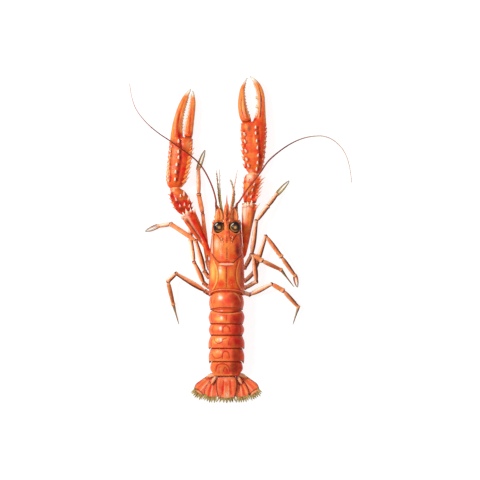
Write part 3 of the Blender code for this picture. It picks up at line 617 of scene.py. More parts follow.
# Painted reflections in each eye, a brown and a tan glow, in shares of its size: (outer radius, inner
# radius, colour, strength)
EYE_REFLECTIONS = [(0.62, 0.42, "brown", 0.8), (0.34, 0.12, "tan", 0.9)]
# Half width and half height of the eye's stalk from its foot to the eye
EYE_STALK = [(2.2, 2.0), (2.3, 2.1), (2.4, 2.2)]

# Marks seen on the back. A patch is (x, y, half width, half length, colour, strength, firmness of its
# edge). A stroke is (line of (x, y), half width, colour, strength, depth), a groove below 0.
PATCHES = {
    "carapace": [
        (-3.0, 15.0, 6.0, 8.0, "amber", 0.5),
        # Painted highlight on the left cheek
        (-6.8, 12.0, 4.2, 11.0, "amber", 0.9),
        (-7.2, 13.6, 2.8, 6.0, "peach", 0.9),
        (-7.4, 13.6, 2.4, 6.0, "blush", 0.85),
        (-3.2, 5.5, 4.6, 5.0, "amber", 0.5),
        (-4.4, 3.6, 4.6, 3.2, "red", 0.6),
        (4.0, 11.0, 4.2, 7.0, "amber", 0.45),
        # Painted shade on the right cheek
        (8.4, 9.0, 3.4, 10.0, "deep red", 0.85),
        (8.6, 8.2, 2.4, 6.0, "dark", 0.85),
        (6.0, 4.0, 4.0, 3.5, "red", 0.6),
        (0.6, 22.0, 2.4, 7.0, "red", 0.4),
        # Painted shade beside the eyes
        (-2.0, 27.0, 1.2, 5.0, "limb dark", 0.7),
        (2.9, 27.0, 1.2, 5.0, "limb dark", 0.8),
        # Painted highlights, gold and cream, on the left of the rear part and down its left flank
        (-3.8, -9.0, 4.2, 8.5, "gold", 0.75),
        (-4.7, -6.0, 1.9, 4.5, "cream", 0.75),
        (3.4, -8.0, 3.6, 8.0, "amber", 0.5),
        (-10.2, -7.5, 3.0, 11.0, "gold", 0.95),
        (-10.6, -18.0, 3.4, 6.0, "red", 0.75),
        (9.6, -9.0, 2.4, 9.0, "amber", 0.4),
        # Painted shade down the right flank
        (11.4, -11.0, 2.4, 14.0, "wine", 0.75),
        (-4.0, -16.2, 3.8, 4.6, "red", 0.75, 0.3),
        (4.2, -15.2, 4.4, 6.2, "red", 0.75, 0.3),
    ],
    "beak": [
        (-1.0, 36.0, 1.4, 7.0, "amber", 0.7),
        (0.0, 14.0, 2.4, 6.0, "orange", 0.8),
    ],
    # On the tail rings the cream, peach, gold and amber patches on the left are painted highlights and the
    # deep red and wine patches on the right painted shade
    "tail_ring_1": [
        (-4.6, -27.0, 5.0, 4.6, "peach", 0.55),
        (-4.4, -26.8, 2.3, 2.5, "cream", 0.95),
        (7.6, -27.6, 3.2, 5.0, "deep red", 0.85),
        (1.5, -29.0, 6.0, 4.0, "red", 0.5),
        (-9.5, -29.5, 3.0, 4.0, "red", 0.5),
    ],
    "tail_ring_2": [
        (-5.2, -42.6, 5.6, 3.4, "gold", 0.9),
        (-3.8, -42.0, 1.8, 2.2, "cream", 0.95),
        (-3.6, -36.4, 1.4, 0.8, "cream", 0.8),
        (7.4, -42.8, 3.4, 4.0, "deep red", 0.85),
        (6.8, -36.4, 4.0, 1.2, "deep red", 0.8),
        (0.0, -36.3, 9.0, 1.3, "red", 0.6),
        (2.6, -43.6, 3.0, 3.0, "red", 0.5),
    ],
    "tail_ring_3": [
        (-7.5, -49.0, 4.2, 2.6, "amber", 0.85),
        (-4.5, -49.6, 1.6, 2.6, "cream", 0.9),
        (4.4, -50.2, 4.0, 3.4, "red", 0.6),
        (7.6, -50.0, 3.0, 4.0, "deep red", 0.8),
    ],
    "tail_ring_4": [
        (-8.0, -58.6, 4.6, 3.4, "gold", 0.9),
        (-4.3, -58.0, 1.5, 2.6, "cream", 0.9),
        (2.6, -60.0, 4.0, 3.6, "red", 0.5),
        (7.2, -59.8, 3.4, 4.0, "deep red", 0.8),
        (-3.0, -56.6, 5.0, 1.2, "amber", 0.7),
    ],
    "tail_ring_5": [
        (-6.8, -67.6, 5.0, 3.2, "amber", 0.9),
        (-4.3, -67.6, 1.4, 1.8, "peach", 0.9),
        (6.8, -70.0, 4.8, 5.4, "wine", 0.5, 0.35),
        (1.0, -71.4, 4.0, 3.0, "red", 0.5),
    ],
    "tail_ring_6": [
        (-6.8, -79.0, 3.4, 3.6, "coral", 0.8),
        (0.0, -80.0, 6.0, 5.0, "red", 0.35),
        (-5.6, -80.6, 1.6, 2.6, "peach", 0.5),
        (5.6, -79.4, 5.0, 6.4, "wine", 0.6, 0.35),
        (0.0, -83.6, 4.0, 2.2, "red", 0.6),
    ],
    "telson": [
        (-1.0, -88.6, 3.0, 2.0, "peach", 0.75),
        (3.6, -89.0, 2.4, 1.4, "peach", 0.6),
        (0.4, -99.8, 2.2, 3.8, "blush", 0.85),
        (-5.4, -97.0, 1.2, 5.0, "peach", 0.4),
        (-0.4, -101.5, 5.2, 1.6, "peach", 0.8),
        (0.0, -95.0, 1.2, 4.0, "amber", 0.6),
    ],
}
DASH_STEP = 1.4


def dashes(front, rear):
    """Short dark dashes down the midline."""
    starts = np.arange(front, rear, -DASH_STEP)
    return [([(0.3, y), (0.3, y - 0.4)], 0.45, "ink", 0.9, -0.1) for y in starts]


def flank_grooves(line, left, right):
    """A groove down both flanks of a ring, with its strength on the left and on the right."""
    return [(sided(line, side), 0.3, "deep red", strength, -0.2)
            for side, strength in (("left", left), ("right", right))]


STROKES = {
    "carapace": [
        ([(-11.0, 6.4), (-10.0, 4.5), (-6.9, 0.8), (-5.0, -0.6)], 0.42, "dark", 0.85, -0.5),
        ([(12.4, 5.6), (9.8, 3.6), (6.8, 0.8), (5.4, -0.6)], 0.42, "dark", 0.9, -0.5),
        ([(-5.0, -1.5), (0.0, -1.6), (5.0, -1.5)], 0.75, "blush", 0.85, 0.4),
        ([(-5.5, -0.2), (0.0, 0.0), (5.6, -0.2)], 0.26, "deep red", 0.9, -0.4),
        ([(-4.8, -2.9), (0.0, -3.1), (5.0, -2.9)], 0.24, "red", 0.9, -0.35),
        ([(0.1, -3.4), (0.0, -11.0), (-0.1, -18.6)], 0.24, "dark", 0.85, -0.25),
        *dashes(10.6, 1.6),
        ([(-9.8, 0.8), (-7.5, -5.0), (-6.9, -10.7), (-7.9, -16.0), (-11.0, -22.0)], 0.5, "gold", 0.75, 0.2),
        ([(-9.0, 0.6), (-6.7, -5.0), (-6.1, -10.7), (-7.1, -16.0), (-10.2, -22.0)],
         0.22, "limb dark", 0.6, -0.3),
        ([(9.6, 0.8), (8.1, -5.0), (7.7, -11.0), (8.9, -16.5), (11.8, -22.0)], 0.5, "amber", 0.75, 0.2),
        ([(8.9, 0.6), (7.3, -5.0), (6.9, -11.0), (8.1, -16.5), (11.0, -22.0)], 0.24, "dark", 0.6, -0.3),
        ([(-9.7, 22.0), (-9.9, 14.0), (-9.5, 6.0)], 0.24, "limb dark", 0.8, -0.3),
        ([(-10.7, 22.0), (-11.0, 14.0), (-10.8, 6.5)], 0.55, "blush", 0.9, 0.15),
        ([(10.6, 22.0), (10.9, 14.0), (10.9, 6.0)], 0.24, "dark", 0.7, -0.3),
        ([(11.2, 21.0), (11.6, 14.0), (11.7, 7.0)], 0.4, "blush", 0.7, 0.15),
        ([(-7.6, 20.7), (-5.4, 18.0), (-3.7, 15.3)], 0.32, "dark", 0.75, -0.2),
        ([(-1.8, 20.2), (-2.5, 17.5), (-2.9, 15.3)], 0.26, "dark", 0.7, -0.2),
        ([(8.0, 20.7), (6.0, 18.0), (4.4, 15.3)], 0.32, "dark", 0.85, -0.2),
        ([(2.7, 20.2), (3.4, 17.5), (3.7, 15.3)], 0.26, "dark", 0.8, -0.2),
        ([(-1.8, 30.0), (-2.0, 24.5), (-1.5, 20.0)], 0.28, "deep red", 0.7, -0.2),
        ([(2.3, 30.0), (2.5, 24.5), (2.1, 20.0)], 0.28, "deep red", 0.7, -0.2),
    ],
    "beak": [
        ([(0.5, 40.0), (0.5, 35.0), (0.4, 29.0)], 0.5, "ink", 0.95, -0.3),
        ([(0.4, 29.0), (0.4, 20.0)], 0.25, "deep red", 0.5, -0.15),
        *dashes(19.0, 11.6),
        ([(-0.9, 37.0), (-0.3, 34.8), (0.4, 33.0)], 0.2, "deep red", 0.8, -0.15),
        ([(1.7, 37.0), (1.1, 34.8), (0.6, 33.0)], 0.2, "deep red", 0.8, -0.15),
        ([(-1.2, 33.6), (-0.5, 31.8), (0.3, 30.4)], 0.2, "deep red", 0.8, -0.15),
        ([(1.7, 33.6), (1.1, 31.8), (0.6, 30.4)], 0.2, "deep red", 0.8, -0.15),
    ],
    "tail_ring_1": [
        ([(-10.6, -31.0), (-8.6, -25.2), (-4.0, -22.8)], 0.25, "amber", 0.6, 0.15),
        ([(3.6, -22.0), (8.2, -25.0), (10.4, -29.6)], 0.25, "peach", 0.45, 0.15),
        ([(-11.2, -27.0), (-11.0, -31.0), (-9.6, -34.0)], 0.25, "deep red", 0.6, -0.2),
        ([(11.4, -27.0), (11.2, -31.0), (9.8, -34.0)], 0.25, "deep red", 0.7, -0.2),
    ],
    "tail_ring_2": [
        ([(-11.5, -36.0), (-6.0, -37.4), (0.0, -37.8), (6.0, -37.4), (11.5, -36.0)],
         0.35, "dark", 0.9, -0.35),
        ([(-11.0, -38.0), (-5.0, -38.6), (0.0, -38.8), (5.0, -38.6), (11.0, -38.0)],
         0.4, "amber", 0.6, 0.15),
        ([(0.1, -39.6), (0.0, -41.6), (-0.1, -44.0)], 0.22, "deep red", 0.7, -0.15),
        *flank_grooves([(10.8, -38.8), (11.4, -42.0), (10.4, -45.4)], 0.5, 0.6),
    ],
    "tail_ring_3": [
        ([(-2.7, -52.8), (-2.5, -49.2), (-0.5, -47.6), (2.1, -49.0), (2.8, -52.6)],
         0.4, "deep red", 0.8, -0.25),
        *flank_grooves([(9.8, -48.0), (10.8, -50.6), (9.8, -53.6)], 0.5, 0.6),
    ],
    "tail_ring_4": [
        ([(-9.4, -56.4), (-8.8, -59.4), (-6.4, -61.0), (-3.8, -60.2), (-2.2, -57.6), (0.1, -56.8)],
         0.36, "deep red", 0.7, -0.25),
        ([(2.6, -57.6), (1.6, -60.0), (1.4, -62.6)], 0.3, "deep red", 0.6, -0.2),
        *flank_grooves([(10.6, -57.4), (11.6, -60.0), (11.4, -63.4)], 0.6, 0.6),
    ],
    "tail_ring_5": [
        ([(-3.2, -72.6), (-2.6, -68.4), (-0.6, -66.8), (1.7, -68.4), (2.2, -72.0)],
         0.42, "deep red", 0.85, -0.3),
        ([(-11.0, -69.0), (-8.8, -72.0), (-5.4, -72.0), (-3.0, -70.4)], 0.36, "deep red", 0.7, -0.25),
        ([(-9.8, -67.0), (-9.4, -69.6), (-7.0, -70.8)], 0.25, "amber", 0.6, 0.1),
    ],
    "tail_ring_6": [
        ([(-8.0, -82.0), (-7.2, -78.0), (-4.2, -76.4), (-0.6, -76.8), (2.0, -79.4), (2.6, -82.6)],
         0.38, "deep red", 0.85, -0.28),
        ([(-2.6, -82.6), (-1.0, -78.8), (0.8, -82.0)], 0.34, "deep red", 0.8, -0.25),
        ([(-5.4, -83.6), (-5.6, -80.0), (-4.4, -78.4)], 0.25, "red", 0.8, -0.15),
        ([(-4.0, -84.4), (0.0, -84.8), (4.0, -84.4)], 0.3, "amber", 0.7, 0.15),
    ],
    "telson": [
        ([(-2.2, -89.0), (-2.7, -94.0), (-3.2, -99.6)], 0.7, "red", 0.9, -0.35),
        ([(2.6, -89.0), (3.0, -94.0), (3.4, -99.6)], 0.7, "red", 0.9, -0.35),
        ([(-4.9, -89.0), (-5.6, -95.0), (-5.4, -100.4)], 0.35, "orange", 0.7, 0.25),
        ([(5.3, -89.0), (6.0, -95.0), (5.8, -100.4)], 0.35, "orange", 0.7, 0.25),
        ([(-1.2, -93.0), (-1.4, -97.0), (-1.4, -100.6)], 0.25, "peach", 0.8, 0.15),
        ([(1.2, -93.0), (1.5, -97.0), (2.0, -100.6)], 0.25, "peach", 0.8, 0.15),
    ],
}


def ring_of(row, belly):
    """One ring round an arched shell, as a function of the places round it."""
    surface = arch([row, row], belly)
    return lambda around: surface(np.array(0.5), around)


def socket(row, belly):
    """A shell's open end: its lip, then the hollow that takes its neighbour."""
    y, half, top, _, sweep, _ = row
    inner = (half - SHELL_LIP, top - SHELL_LIP, belly, sweep, 0.0)
    return [ring_of((y + deeper, *inner), belly) for deeper in (0.0, SOCKET_DEPTH)]


def shell_tones(skin, seed):
    """Every shell's uneven orange, pale below, with painted highlight to the left and painted shade to the
    right.
    """
    beside = skin.x - skin.x.mean()
    share = beside / np.abs(beside).max()
    skin.speckle("red", 3.2, 0.45, seed)
    skin.speckle("amber", 4.6, 0.4, seed + 1)
    # Painted highlight on the left side and painted shade on the right, as the light falls from the left
    skin.tint(smooth(0.0, -0.9, share), "amber", 0.3)
    skin.tint(smooth(0.1, 0.9, share), "red", 0.5)
    # Painted shade on the upright sides
    skin.outline("deep red", 0.55)
    skin.underside("pale belly", 0.75)
    skin.relief += 0.16 * (mottle(skin.points, 5.0, seed + 2) - 0.5)


def flank_hems(skin):
    """A raised pale hem along the lower edge of both flanks, and a swell above it."""
    gap = np.minimum(skin.around, np.abs(ROOF_SHARE - skin.around))
    outside = skin.around <= ROOF_SHARE + 0.01
    hem = band(gap, 0.012, 0.008) * outside
    skin.relief += (0.22 * hem + 0.35 * band(gap, 0.075, 0.035)) * outside
    skin.tint(hem, "peach", 0.8)
    skin.tint(band(gap, 0.03, 0.006) * outside, "deep red", 0.5)


def sink_orbit(skin, centre):
    """Presses the shell in to the eye's socket, raises a rim round it and inks the hollow as painted shade.
    """
    size = EYE_SIZE + ORBIT_CLEARANCE
    gap = (skin.points - centre) / size
    reach = np.linalg.norm(gap, axis=-1)
    rim = band(reach, 1.1, 0.09) * (reach > 1)
    skin.relief += 0.5 * rim
    skin.tint(rim, "limb", 0.7)
    # Painted shade: the hollow round the eye is inked almost black
    skin.tint(smooth(1.03, 0.97, reach), "ink", 0.95)
    inside = reach < 1
    way, gap = (-skin.normals / size)[inside], gap[inside]
    a, b, c = (way**2).sum(-1), 2 * (way * gap).sum(-1), (gap**2).sum(-1) - 1
    sunk = (-b + np.sqrt(b**2 - 4 * a * c)) / (2 * a)
    skin.points[inside] -= skin.normals[inside] * sunk[:, None]
    skin.relief[inside] = 0.0


def build_beak():
    """The parts of the beak, with a few thorns along both edges."""
    beak = Skin(tube(BEAK_ROWS), 0.3, "coral", domes=(0.8, 0.15))
    beak.speckle("amber", 1.6, 0.8, 21)
    # Painted shade on the beak's upright sides
    beak.outline("limb dark", 0.6)
    from_ridge = np.abs(beak.around - 0.25 * np.round(beak.around / 0.25))
    ridges = band(from_ridge, 0, 0.05) * (np.abs(np.sin(2 * math.pi * beak.around)) < 0.5)
    beak.relief += 0.25 * ridges * smooth(0.0, 0.2, beak.along) * smooth(1.0, 0.7, beak.along)
    beak.tint(ridges, "amber", 0.5)
    beak.draw("beak")
    beak.tint(smooth(0.78, 0.9, beak.along), "limb dark", 0.4)
    teeth = [thorns_along(beak, (0.42, edge), (0.76, edge), BEAK_TEETH, 2.1, 0.55, 1.8)
             for edge in (0.0, 0.5)]
    return [beak.parts(), *teeth]


def build_carapace():
    socket_rings = socket(CARAPACE_ROWS[0], BELLY + 0.2)
    skin = Skin(arch(CARAPACE_ROWS, BELLY), 0.42, "orange", before=socket_rings, domes=(0.0, 1.5))
    shell_tones(skin, 11)
    flank_hems(skin)
    skin.draw("carapace")
    roof = skin.around < ROOF_SHARE
    for middle, width, colour, strength, height in CARAPACE_BANDS:
        ring = band(skin.along, middle, width) * roof
        skin.relief += height * ring
        skin.tint(ring, colour, strength)
    skin.tint(smooth(0.93, 0.98, skin.along) * roof, "amber", 0.8)
    skin.colour[:len(socket_rings)] = COLOURS["orange"]
    beads = [(0.4, y) for y in np.arange(2.0, 9.5, 1.15)]
    thorns = [thorns_at(skin, beads, 0.2, 0.4, (0.0, 0.0), BEAD, "dark", 0.9)]
    thorns.append(thorns_at(skin, BROW_THORNS, 1.5, 0.5, (-0.2, 1.4), tip="blush"))
    thorns += [thorns_at(skin, *row) for row in CHEEK_THORNS]
    for sign in (1, -1):
        sink_orbit(skin, EYE * (sign, 1, 1) + EYE_SHIFT)
        for along, around, length, radius, lean in CARAPACE_THORNS:
            spot = (along, ROOF_SHARE / 2 + sign * around)
            thorns.append(thorns_along(skin, spot, spot, 1, length, radius, lean))
    random = np.random.default_rng(5)
    spots = [(random.uniform(-9, 9), random.uniform(-17, 20)) for _ in range(GRANULES)]
    thorns.append(thorns_at(skin, spots, 0.16, 0.24, (0.0, 0.6), BEAD, "amber", 0.0))
    piece("back_shell", [skin.parts(), *build_beak(), *thorns], "shell", "carapace")


def build_eye(side):
    """A domed black eye with painted reflections, a golden brown glow low on the inner side, over its
    stalk.
    """
    sign = SIDES[side]
    centre = EYE * (sign, 1, 1) + EYE_SHIFT
    wide, long, tall = EYE_SIZE
    poles = [(*(centre + (0, long * math.sin(turn), 0)), wide * math.cos(turn), tall * math.cos(turn))
             for turn in np.linspace(-1.5, 1.5, 25)]
    skin = Skin(tube(poles), 0.24, "black")
    x, y, z = np.moveaxis((skin.points - centre) / EYE_SIZE, -1, 0)
    above = smooth(0.0, 0.3, z)
    # Painted reflections: a brown ring round a tan disc
    for outer, inner, colour, strength in EYE_REFLECTIONS:
        skin.tint(above * smooth(outer, inner, np.hypot(x - 0.05, y + 0.08)), colour, strength)
    reach = np.hypot(x, y)
    # Painted reflection: a tan crescent low on the inner side
    lower = smooth(-0.2, 0.6, -0.7 * (sign * x + y))
    skin.tint(above * lower * band(reach, 0.74, 0.1), "tan", 0.75)
    # Painted reflection: a cream glint of the light, towards the front on the left
    glint_side = smooth(0.86, 0.98, (y - x) / np.maximum(reach, 0.05) / math.sqrt(2))
    skin.tint(above * glint_side * band(reach, 0.66, 0.07), "cream", 0.9)
    foot = centre + (-2.6 * sign, -0.4, -3.6)
    route = [(*place, *size) for place, size in zip((foot, (foot + centre) / 2, centre), EYE_STALK)]
    stalk = Skin(tube(route), 0.5, "dark")
    piece(f"bright_eye_{side}", [skin.parts(), stalk.parts()], "eye", f"eye_{side}")


# The tail's rings: for each (front, rear, front half width, widest half, rear half, front top, rear top,
# front sweep, rear sweep, flank edge, flank tip). A neck in front of each slips under its neighbour.

NECK_SHRINK = 1.25
NECK_REACH = 1.6
NECK_STEPS = (-0.06, 0.12, 0.3, 0.5, 0.75, 1.0)
# The neck's tones from its deepest ring to the shoulder: painted light that lifts the shade in the hollow
# under the ring ahead, then painted shade in the crease at the shoulder
NECK_TONES = ("amber", "amber", "orange", "orange", "red", "deep red")
TAIL_RINGS = {
    "tail_ring_1": (-22.4, -34.0, 12.1, 12.8, 12.0, 20.4, 20.4, -3.6, -1.8, 4.2, 0.0),
    "tail_ring_2": (-35.2, -46.0, 12.0, 13.2, 12.2, 20.0, 19.9, -1.6, 0.0, 0.8, -0.5),
    "tail_ring_3": (-46.6, -54.6, 11.8, 13.0, 11.9, 19.4, 19.2, 0.0, 0.0, 0.6, -0.6),
    "tail_ring_4": (-55.2, -64.4, 11.7, 13.1, 13.3, 18.7, 18.2, 0.0, 0.0, 0.5, -1.3),
    "tail_ring_5": (-65.0, -74.4, 11.8, 13.0, 13.0, 17.6, 16.6, 0.0, 0.0, 0.4, -2.2),
    "tail_ring_6": (-75.0, -85.4, 11.2, 11.9, 8.3, 16.0, 10.6, 0.0, 0.0, 1.0, 0.0),
}


def ring_rows(front, rear, wide, widest, narrow, high, low, front_sweep, rear_sweep, edge, tip):
    """The outer rows of one tail ring, from its front shoulder to its rear rim."""
    length = rear - front
    crown, sweep = (high + low) / 2 + 0.5, (front_sweep + rear_sweep) / 2
    return [
        (front, wide - 0.5, high - 0.5, edge + 3.6, front_sweep, 0.0),
        (front + 0.12 * length, wide + 0.1, high, edge + 2.0, front_sweep * 0.9, tip * 0.1),
        (front + 0.5 * length, widest, crown, edge, sweep, tip * 0.5),
        (front + 0.86 * length, (widest + 2 * narrow) / 3, low + 0.2, edge + 0.3, rear_sweep, tip * 0.9),
        (rear, narrow, low, edge + 0.8, rear_sweep, tip),
    ]


def build_tail_ring(name, sizes, seed):
    rows = ring_rows(*sizes)
    y, half, top, _, sweep, _ = rows[0]
    slim = (half + 0.5 - NECK_SHRINK, top + 0.5 - NECK_SHRINK, BELLY + 0.4, sweep, 0.0)
    neck = [ring_of((y + NECK_REACH * k, *slim), BELLY + 0.4) for k in NECK_STEPS]
    last = name == "tail_ring_6"
    after = () if last else socket(rows[-1], BELLY)
    skin = Skin(arch(rows, TAIL_BELLY, TAIL_TUCK), 0.42, "coral", neck, (0.0, 0.5 if last else 0.0), after)
    outside = smooth(ROOF_SHARE + 0.01, ROOF_SHARE, skin.around)
    shell_tones(skin, seed)
    flank_hems(skin)
    skin.tint(outside * band(skin.along, 0.1, 0.05), "amber", 0.5)
    # Painted shade down the right side of the ring, ragged at its left edge and blotched
    blots = 0.45 + 0.55 * smooth(0.3, 0.6, mottle(skin.points, 2.4, seed + 7))
    ragged = skin.x + 5.0 * (mottle(skin.points, 3.6, seed + 8) - 0.5)
    shade = outside * skin.up * smooth(1.8, 5.4, ragged) * smooth(12.2, 10.0, skin.x)
    skin.tint(shade, "deep red", 0.48)
    skin.tint(shade * blots, "wine", 0.38)
    skin.draw(name)
    # Painted highlight on the raised lip near the rear rim, painted shade in the groove ahead of it, along
    # the rear edge and along the front edge
    skin.relief += outside * (0.28 * band(skin.along, 0.94, 0.035) - 0.2 * band(skin.along, 0.85, 0.03))
    skin.tint(outside * band(skin.along, 0.94, 0.03), "salmon", 0.8)
    skin.tint(outside * band(skin.along, 0.87, 0.02), "deep red", 0.3)
    skin.tint(outside * smooth(0.975, 0.995, skin.along), "dark", 0.85)
    skin.tint(outside * smooth(0.03, 0.0, skin.along), "deep red", 0.6)
    # Painted light and painted shade on the neck
    for row, tone in enumerate(NECK_TONES):
        skin.colour[row] = COLOURS[tone]
    piece(f"{name}_shell", [skin.parts()], "shell", name)


# The fan: routes (x, y, z, half width, half thickness) from each right blade's root to its hem

TELSON_ROWS = [
    (0.0, -86.2, 6.2, 6.6, 1.9),
    (0.0, -88.0, 6.0, 7.6, 2.1),
    (0.0, -92.0, 5.4, 8.1, 1.8),
    (0.0, -97.5, 4.4, 7.5, 1.2),
    (0.0, -101.6, 3.7, 6.2, 0.6),
]
TELSON_THORNS = [(-5.2, -100.8), (5.2, -100.8), (0.0, -99.0)]
BLADE_ROWS = {
    "inner": [
        (8.6, -86.6, 2.2, 1.5, 1.0),
        (9.6, -89.5, 2.2, 2.9, 0.9),
        (11.0, -94.5, 2.1, 4.4, 0.65),
        (11.5, -98.5, 2.1, 5.5, 0.6),
        (11.5, -101.4, 2.1, 4.8, 0.45),
    ],
    "outer": [
        (10.4, -85.0, 0.7, 1.5, 0.45),
        (13.4, -88.2, 0.65, 2.9, 0.5),
        (16.3, -91.8, 0.65, 4.3, 0.5),
        (18.9, -95.2, 0.6, 5.4, 0.45),
        (21.4, -98.7, 0.6, 4.1, 0.4),
    ],
}
# The two lobes of each stem that carries the side blades
FAN_ROOT_ROWS = [
    [
        (8.0, -85.2, 3.4, 1.1, 0.8),
        (10.6, -85.0, 3.2, 1.5, 1.1),
        (12.8, -85.7, 2.8, 1.4, 1.0),
        (14.8, -86.8, 2.3, 0.5, 0.6),
    ],
    [
        (7.8, -86.0, 3.8, 1.2, 0.7),
        (9.0, -87.4, 4.3, 1.3, 0.8),
        (10.0, -89.2, 4.4, 1.3, 0.8),
        (11.2, -91.2, 3.9, 0.6, 0.4),
    ],
]
# The hems that carry the fringe: (line, the blade's root, depth of the fringe, its height over ground)
HEMS = {
    "telson": ([(-6.4, -102.2), (0.0, -103.2), (6.4, -102.2)], (0.0, -90.0), 3.2, 3.0),
    "inner": ([(17.0, -100.9), (12.6, -103.2), (7.6, -102.8)], (10.5, -90.0), 2.8, 1.7),
    "outer": ([(25.0, -96.2), (22.5, -99.8), (17.9, -101.5)], (14.0, -88.0), 2.9, 0.2),
}
HEM_THICKNESS = 0.8
HEM_OVERLAP = 1.5
TUFTS = 7
FRINGE_BASE = 50
# The hairs of one tuft: (count, radius, root colour, tip colour)
TUFT_HAIRS = [(12, 0.36, "olive", "straw"), (7, 0.26, "straw", "straw"),
              (9, 0.22, "olive dark", "olive dark")]
BLADE_SEED, FRINGE_SEED = 48, 10
# The dark seam across each outer blade
SUTURE = [(25.6, -94.6), (22.2, -95.8), (19.4, -97.6), (17.2, -100.4)]
# Stripes on the right blades, mirrored for the left: (line, half width, colour, strength, depth)
BLADE_STROKES = {
    "inner": [
        ([(8.4, -88.4), (8.9, -91.2), (10.4, -92.6), (12.0, -91.6), (12.8, -89.6)], 0.5, "dark", 0.9, -0.1),
        ([(10.6, -93.0), (11.0, -97.0), (11.4, -101.0)], 0.45, "peach", 0.75, 0.3),
        ([(10.4, -90.0), (12.4, -95.6), (13.6, -101.2)], 0.9, "red", 0.9, -0.15),
        ([(12.0, -91.4), (14.6, -96.6), (15.8, -100.4)], 0.35, "amber", 0.7, 0.12),
        ([(8.0, -90.0), (7.2, -96.0), (7.4, -101.6)], 0.3, "peach", 0.7, 0.12),
    ],
    "outer": [
        ([(12.4, -88.0), (14.6, -88.4), (15.8, -87.0), (15.6, -85.8)], 0.4, "dark", 0.85, -0.1),
        ([(13.4, -89.6), (16.4, -93.0), (20.0, -97.4)], 0.5, "peach", 0.75, 0.28),
        ([(12.0, -85.6), (17.6, -89.8), (23.0, -95.0)], 0.5, "amber", 0.6, 0.12),
        ([(12.6, -87.2), (18.0, -92.6), (21.8, -96.0)], 0.9, "coral", 0.8, -0.1),
        (SUTURE, 0.3, "dark", 0.85, -0.25),
        ([(x * 1.02, y - 1.0) for x, y in SUTURE], 0.7, "peach", 0.7, 0.1),
    ],
}


def fringe(line, root, depth, low, seed):
    """A ragged fringe: a dark root line, then hairs that lean together into pointed tufts."""
    random = np.random.default_rng(seed)
    at = reading(line)
    root = np.array(root)

    def strands(share, tip_share, reach, radius, low_tone, high_tone):
        count = len(share)
        begin, aim = at(share), at(tip_share)
        tip = aim + unit(aim - root) * (depth * reach)[:, None]
        height = low + HEM_THICKNESS * (0.25 + 0.6 * random.random(count))
        start = np.column_stack([begin - unit(begin - root) * HEM_OVERLAP, height])
        way = np.column_stack([tip - start[:, :2], random.normal(-0.1, 0.12, count)])
        tones = [COLOURS[low_tone] * k for k in random.uniform(0.8, 1.15, count)]
        length = np.linalg.norm(way, axis=1)
        return spikes(start, way, length, radius, tones, COLOURS[high_tone], HAIR, 4)

    base = np.linspace(0, 1, FRINGE_BASE)
    parts = [strands(base, base, np.full(FRINGE_BASE, 0.25), 0.34, "olive dark", "olive")]
    middles = (np.arange(TUFTS) + 0.5) / TUFTS + random.uniform(-0.02, 0.02, TUFTS)
    for middle in middles:
        tall = random.uniform(0.95, 1.25)
        for count, radius, *tones in TUFT_HAIRS:
            aside = random.uniform(-1, 1, count)
            reach = tall * (1 - 0.45 * np.abs(aside)) * random.uniform(0.85, 1.05, count)
            share, tip_share = middle + aside * 0.6 / TUFTS, middle + aside * 0.28 / TUFTS
            parts.append(strands(share, tip_share, reach, radius, *tones))
    return parts


def edge_share(skin):
    """How far round each point lies from the nearer side edge of a flat piece."""
    return np.minimum(np.abs(skin.around), np.minimum(np.abs(skin.around - 0.5), 1 - skin.around))


def blade_tones(skin, seed, front):
    """Salmon with red mottles, pale at its root up to the share front, with a dark edge and hem."""
    skin.speckle("coral", 2.2, 0.6, seed)
    skin.speckle("red", 3.4, 0.4, seed + 1)
    skin.underside("pale belly", 0.6)
    skin.tint(smooth(front, 0.0, skin.along), "peach", 0.5)
    skin.tint(smooth(0.1, 0.065, edge_share(skin)), "dark", 0.9)
    skin.tint(smooth(0.95, 0.99, skin.along), "olive dark", 0.7)


def build_telson():
    telson = Skin(tube(TELSON_ROWS, 2.6), 0.34, "salmon", domes=(0.6, 0.7))
    blade_tones(telson, 41, 0.12)
    telson.draw("telson")
    corners = thorns_at(telson, TELSON_THORNS, 1.1, 0.4, (0.0, -1.6), tip="blush")
    piece("telson_shell", [telson.parts(), corners], "shell", "telson")
    piece("telson_fringe", fringe(*HEMS["telson"], 3), "bristle", "bristles_telson")


def build_blade(blade, side):
    """One side blade of the fan with the fringe behind it."""
    skin = Skin(tube(sided(BLADE_ROWS[blade], side), 2.4), 0.34, "salmon", domes=(0.3, 0.5))
    blade_tones(skin, BLADE_SEED + SIDES[side], 0.2)
    for line, *rest in BLADE_STROKES[blade]:
        skin.stroke(sided(line, side), *rest)
    piece(f"{blade}_blade_{side}", [skin.parts()], "shell", f"fan_{blade}_{side}")
    line, root, depth, low = HEMS[blade]
    strands = fringe(sided(line, side), *sided([root], side), depth, low, FRINGE_SEED + SIDES[side])
    piece(f"{blade}_fringe_{side}", strands, "bristle", f"bristles_{blade}_{side}")


def build_fan_root(side):
    """The two lobes that carry the blades of one side."""
    lobes = []
    for k, rows in enumerate(FAN_ROOT_ROWS):
        rows = sided(rows, side)
        lobe = Skin(tube(rows), 0.26, "peach", domes=(0.4, 0.4))
        lobe.speckle("coral", 1.5, 0.8, 51 + k)
        lobe.patch(*rows[1][:2], 1.6, 1.1, "blush", 0.8)
        lobe.tint(smooth(0.11, 0.07, edge_share(lobe)), "dark", 0.9)
        lobes.append(lobe.parts())
    piece(f"fan_lobes_{side}", lobes, "shell", f"fan_root_{side}")


# The claws: arms and wrists as routes (x, y, z, half width, half height), then palms and fingers as
# upright slices (y, left edge, right edge, low, high)

